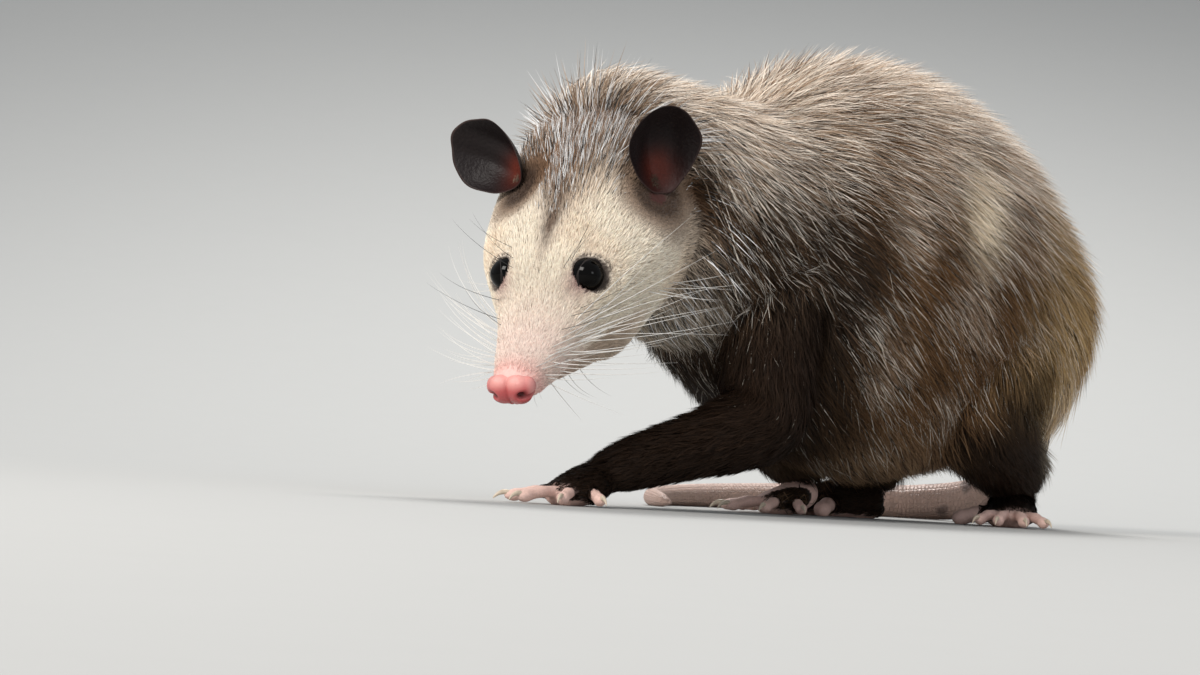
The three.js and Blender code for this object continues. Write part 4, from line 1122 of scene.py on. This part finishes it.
def guard_tones(root):
    """Root, middle and tip colour of each guard hair: white, dark or of the coat's own colour."""
    draw = chance.random(len(root["own"]))
    shade = (0.75 + 0.5 * chance.random(len(draw)))[:, None]
    white, dark = (draw < root["white"])[:, None], (draw > 1 - root["dark"])[:, None]
    own, black = root["own"], np.array((0.022, 0.015, 0.011)) * shade
    pale = (np.array((0.72, 0.66, 0.58)) + own * 0.4) * shade
    root_c = np.where(white, own * 0.6 + pale * 0.35, own * 0.6 * shade)
    middle_c = np.where(dark, black, np.where(white, pale, own * shade))
    tip_c = np.where(dark, black, np.where(white, pale * 1.1, own * 1.4 * shade))
    return root_c, middle_c, tip_c


UNDERFUR, GUARD_HAIR, FACE_HAIR, LEG_HAIR = 30000, 38000, 40000, 34000
long_coat = (1 - skin_bare) * (skin_weight["torso"] + skin_weight["neck"] + 0.7 * (
    skin_weight["thigh_left"] + skin_weight["thigh_right"]
    + skin_weight["upper_arm_left"] + skin_weight["upper_arm_right"]
))
for part in range(4):
    root = sprout(long_coat, UNDERFUR)
    count = len(root["spot"])
    shade = (0.7 + 0.6 * chance.random(count))[:, None]
    own = root["own"] * shade
    grow_hair(
        f"underfur_{part + 1}", root, root["long"] * 0.55 * vary(count, 0.25),
        root["deep"] * 0.5 * vary(count, 0.25), 0.9 * vary(count, 0.3), 2,
        (own * 0.4, own * 0.85, own * 1.2), clump=9, pull=0.5, stray=0.24,
    )
for part in range(3):
    root = sprout(long_coat, GUARD_HAIR)
    count = len(root["spot"])
    grow_hair(
        f"guard_hair_{part + 1}", root, root["long"] * vary(count, 0.2),
        root["deep"] * (0.66 + 0.34 * chance.random(count)), 0.36 * vary(count, 0.3), 3,
        guard_tones(root), clump=6, pull=0.42, stray=0.2,
    )

# Short coat. Close, fine hair on face and legs grows from the skin and lies all but flat, shortest at the
# nose and on the backs of hands and feet.
head_spots = to_head(skin_spots)
face_coat = skin_weight["head"] * (1 - soft(head_spots[:, 0], 50, 58))
face_coat = face_coat * (1 + 1.2 * soft(head_spots[:, 0], -30, 20))
face_coat *= soft(eye_gap(head_spots), 7.7, 8.5) * soft(ear_distance(head_spots), 3.5, 5.5)
for part in range(3):
    root = sprout(face_coat, FACE_HAIR)
    count = len(root["spot"])
    front = soft(to_head(root["spot"])[:, 0], -10, 52)
    shade = (0.82 + 0.36 * chance.random(count))[:, None]
    draw = chance.random(count)
    own = root["own"]
    tone = np.where((draw < root["white"])[:, None], 0.82, own)
    tone = np.where((draw > 1 - root["dark"])[:, None], 0.03, tone) * shade
    grow_hair(
        f"face_hair_{part + 1}", root, root["long"] * (1 - 0.45 * front) * vary(count, 0.25),
        root["deep"] * (1 - 0.6 * front) * vary(count, 0.3),
        0.42 * (1 - 0.3 * front) * vary(count, 0.25), 2,
        (own * 0.62 * shade, tone, np.minimum(tone * 1.12, 0.95)),
        clump=6, pull=0.3, stray=0.14, follow=False,
    )
leg_parts = ("forearm", "shank", "upper_arm", "thigh")
leg_coat = sum(v for k, v in skin_weight.items() if k.startswith(leg_parts))
leg_coat = (leg_coat + 2 * hand_share) * (1 - skin_bare)
for part in range(2):
    root = sprout(leg_coat, LEG_HAIR)
    count = len(root["spot"])
    own = root["own"]
    shade = (0.6 + 0.9 * chance.random(count))[:, None]
    near_floor = soft(root["spot"][:, 2], 2, 34)
    grow_hair(
        f"leg_hair_{part + 1}", root, root["long"] * (0.45 + 0.55 * near_floor) * vary(count, 0.25),
        root["deep"] * (0.4 + 0.6 * near_floor) * vary(count, 0.3), 0.5 * vary(count, 0.3), 2,
        (own * 0.8 * shade, own * shade, own * 1.7 * shade), clump=8, pull=0.45, stray=0.14,
    )

# Whiskers. Long stiff white bristles in rows on the sides of the muzzle, more above the eyes, on the cheeks
# and under the chin, with a few dark ones.
whisker_finish = new_material("whisker", 0.35, 300, 0, attribute="whisker_colour", spread=0.1)
whisker_bm = bmesh.new()
whisker_tone = []
for sign in (1, -1):
    sprouts = []
    for row in range(5):
        for k in range(6):
            at = (50 - 5.5 * k - 1.0 * row, sign * (10 + 1.7 * k), -12.5 - 2.6 * row + 0.4 * k)
            aim = (0.15 - 0.16 * k, sign * 1.0, 0.55 - 0.24 * row)
            sprouts.append((at, aim, 30 + 5.5 * k, 0.26, 0.9))
    for k in range(3):
        at = (9 - 6 * k, sign * (13 + 2 * k), 11 + k)
        sprouts.append((at, (0.5, sign * 0.5, 0.9), 40 - 4 * k, 0.13, 0.1))
    for k in range(3):
        sprouts.append(((30 - 7 * k, sign * (15 + 2 * k), -6), (0.1, sign * 1.0, 0.5), 36, 0.14, 0.1))
    for k in range(5):
        at = (-12 - 5 * k, sign * (36 + k), -20 - 3 * k)
        sprouts.append((at, (-0.2, sign * 1.0, -0.25), 34, 0.22, 0.85))
    for k in range(4):
        sprouts.append(((36 - 7 * k, sign * (5 + k), -33 - 2 * k), (0.25, sign * 0.4, -1.0), 20, 0.2, 0.85))
    for at, aim, long, girth, tone in sprouts:
        at = np.array(at, float) + chance.normal(0, 0.7, 3)
        aim = unit(np.array(aim, float) + chance.normal(0, 0.12, 3))
        start, hit, _ = on_skin(from_head([at]))
        droop = unit(np.array([-0.8, 0.0, -0.35]) + chance.normal(0, 0.2, 3))
        long = long * (0.85 + 0.3 * chance.random())
        rings = []
        for step in np.linspace(0, 1, 9):
            spot = start[0] - hit[0] * 1.0 + HEAD_TURN @ (aim * long * step + droop * long * 0.42 * step**2)
            thick_here = girth * (1 - step) ** 0.8 + 0.02
            side_way = unit(np.cross(HEAD_TURN @ aim, (0.1, 0.2, 1.0)))
            up_way = np.cross(side_way, HEAD_TURN @ aim)
            ring = [(side_way * math.cos(a) + up_way * math.sin(a)) * thick_here for a in (0, 2.094, 4.189)]
            rings.append([whisker_bm.verts.new(to_model(spot + off)) for off in ring])
            whisker_tone += [0.86 * tone + 0.02 if tone > 0.5 else 0.03] * 3
        for low, high in zip(rings, rings[1:]):
            for k in range(3):
                whisker_bm.faces.new((low[k], low[(k + 1) % 3], high[(k + 1) % 3], high[k]))
        whisker_bm.faces.new(rings[-1])
        whisker_bm.faces.new(rings[0][::-1])
whisker_mesh = mesh_of(whisker_bm, "whiskers")
tone = np.array(whisker_tone)[:, None]
paint(whisker_mesh, "whisker_colour", tone * np.array([1.0, 0.97, 0.92]))
whiskers = placed("whiskers", whisker_mesh, smooth=False)
whisker_mesh.materials.append(whisker_finish)
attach(whiskers, "root")

# Studio. A plain pale floor rises into a backdrop behind the animal. Broad soft lamps stand in front, at
# the animal's left and behind, and the air gives an even cool light.
RISE_AT, RISE_RADIUS = 0.5, 4.5
backdrop = bmesh.new()
bmesh.ops.create_grid(backdrop, x_segments=2, y_segments=48, size=1)
aim = np.array([-0.652, -0.758])
side_way = np.array([-aim[1], aim[0]])
for v in backdrop.verts:
    run = (v.co.y + 1) / 2 * 9.0 - 3.0
    angle = max(0.0, run - RISE_AT) / RISE_RADIUS
    forward = min(run, RISE_AT) + RISE_RADIUS * math.sin(angle)
    height = RISE_RADIUS * (1 - math.cos(angle))
    spot = aim * forward + side_way * v.co.x * 5.5
    v.co = Vector((spot[0], spot[1], height))
floor = placed("studio_floor", mesh_of(backdrop, "studio_floor"))
paper = new_material("studio_paper", 0.9, 40, 0, colour=(0.40, 0.40, 0.39), spread=0.01)
floor.data.materials.append(paper)


def soft_lamp(name, where, power, size, tint):
    """A broad lamp that faces the animal's middle."""
    light = bpy.data.lights.new(name, "AREA")
    light.energy = power
    light.size = size
    light.color = tint
    lamp = bpy.data.objects.new(name, light)
    lamp.location = where
    lamp.rotation_euler = (Vector((0, 0, 0.1)) - Vector(where)).to_track_quat("-Z", "Y").to_euler()
    bpy.context.scene.collection.objects.link(lamp)


soft_lamp("key_light", (1.7, 0.3, 1.2), 30, 0.7, (1.0, 0.96, 0.91))
soft_lamp("fill_light", (0.5, 2.0, 0.7), 4, 0.5, (0.94, 0.97, 1.0))
soft_lamp("back_light", (-1.1, -1.1, 2.2), 62, 0.9, (1.0, 0.99, 0.97))
world = bpy.data.worlds.new("studio_air")
bpy.context.scene.world = world
world.use_nodes = True
world.node_tree.nodes["Background"].inputs["Color"].default_value = (0.86, 0.89, 0.93, 1)
world.node_tree.nodes["Background"].inputs["Strength"].default_value = 0.6

# Camera. It stands just above the floor, off the animal's left shoulder, and looks slightly up, since the
# photo was taken from below. It leans a little, so that the body slopes as it does there.
CAMERA_SPOT = [1022.3, 1052.8, 20.0]
view = bpy.data.cameras.new("camera")
view.lens = 90
view.sensor_width = 36
camera = bpy.data.objects.new("camera", view)
camera.location = Vector(to_model(CAMERA_SPOT))
heading, pitch, lean = math.radians(40.05), math.radians(2.38), math.radians(3.5)
aim = Vector((-math.sin(heading) * math.cos(pitch), -math.cos(heading) * math.cos(pitch), math.sin(pitch)))
camera.rotation_euler = (aim.to_track_quat("-Z", "Y") @ Quaternion((0, 0, 1), lean)).to_euler()
bpy.context.scene.collection.objects.link(camera)
bpy.context.scene.camera = camera
bpy.context.scene.view_settings.view_transform = "Standard"

bpy.context.view_layer.update()
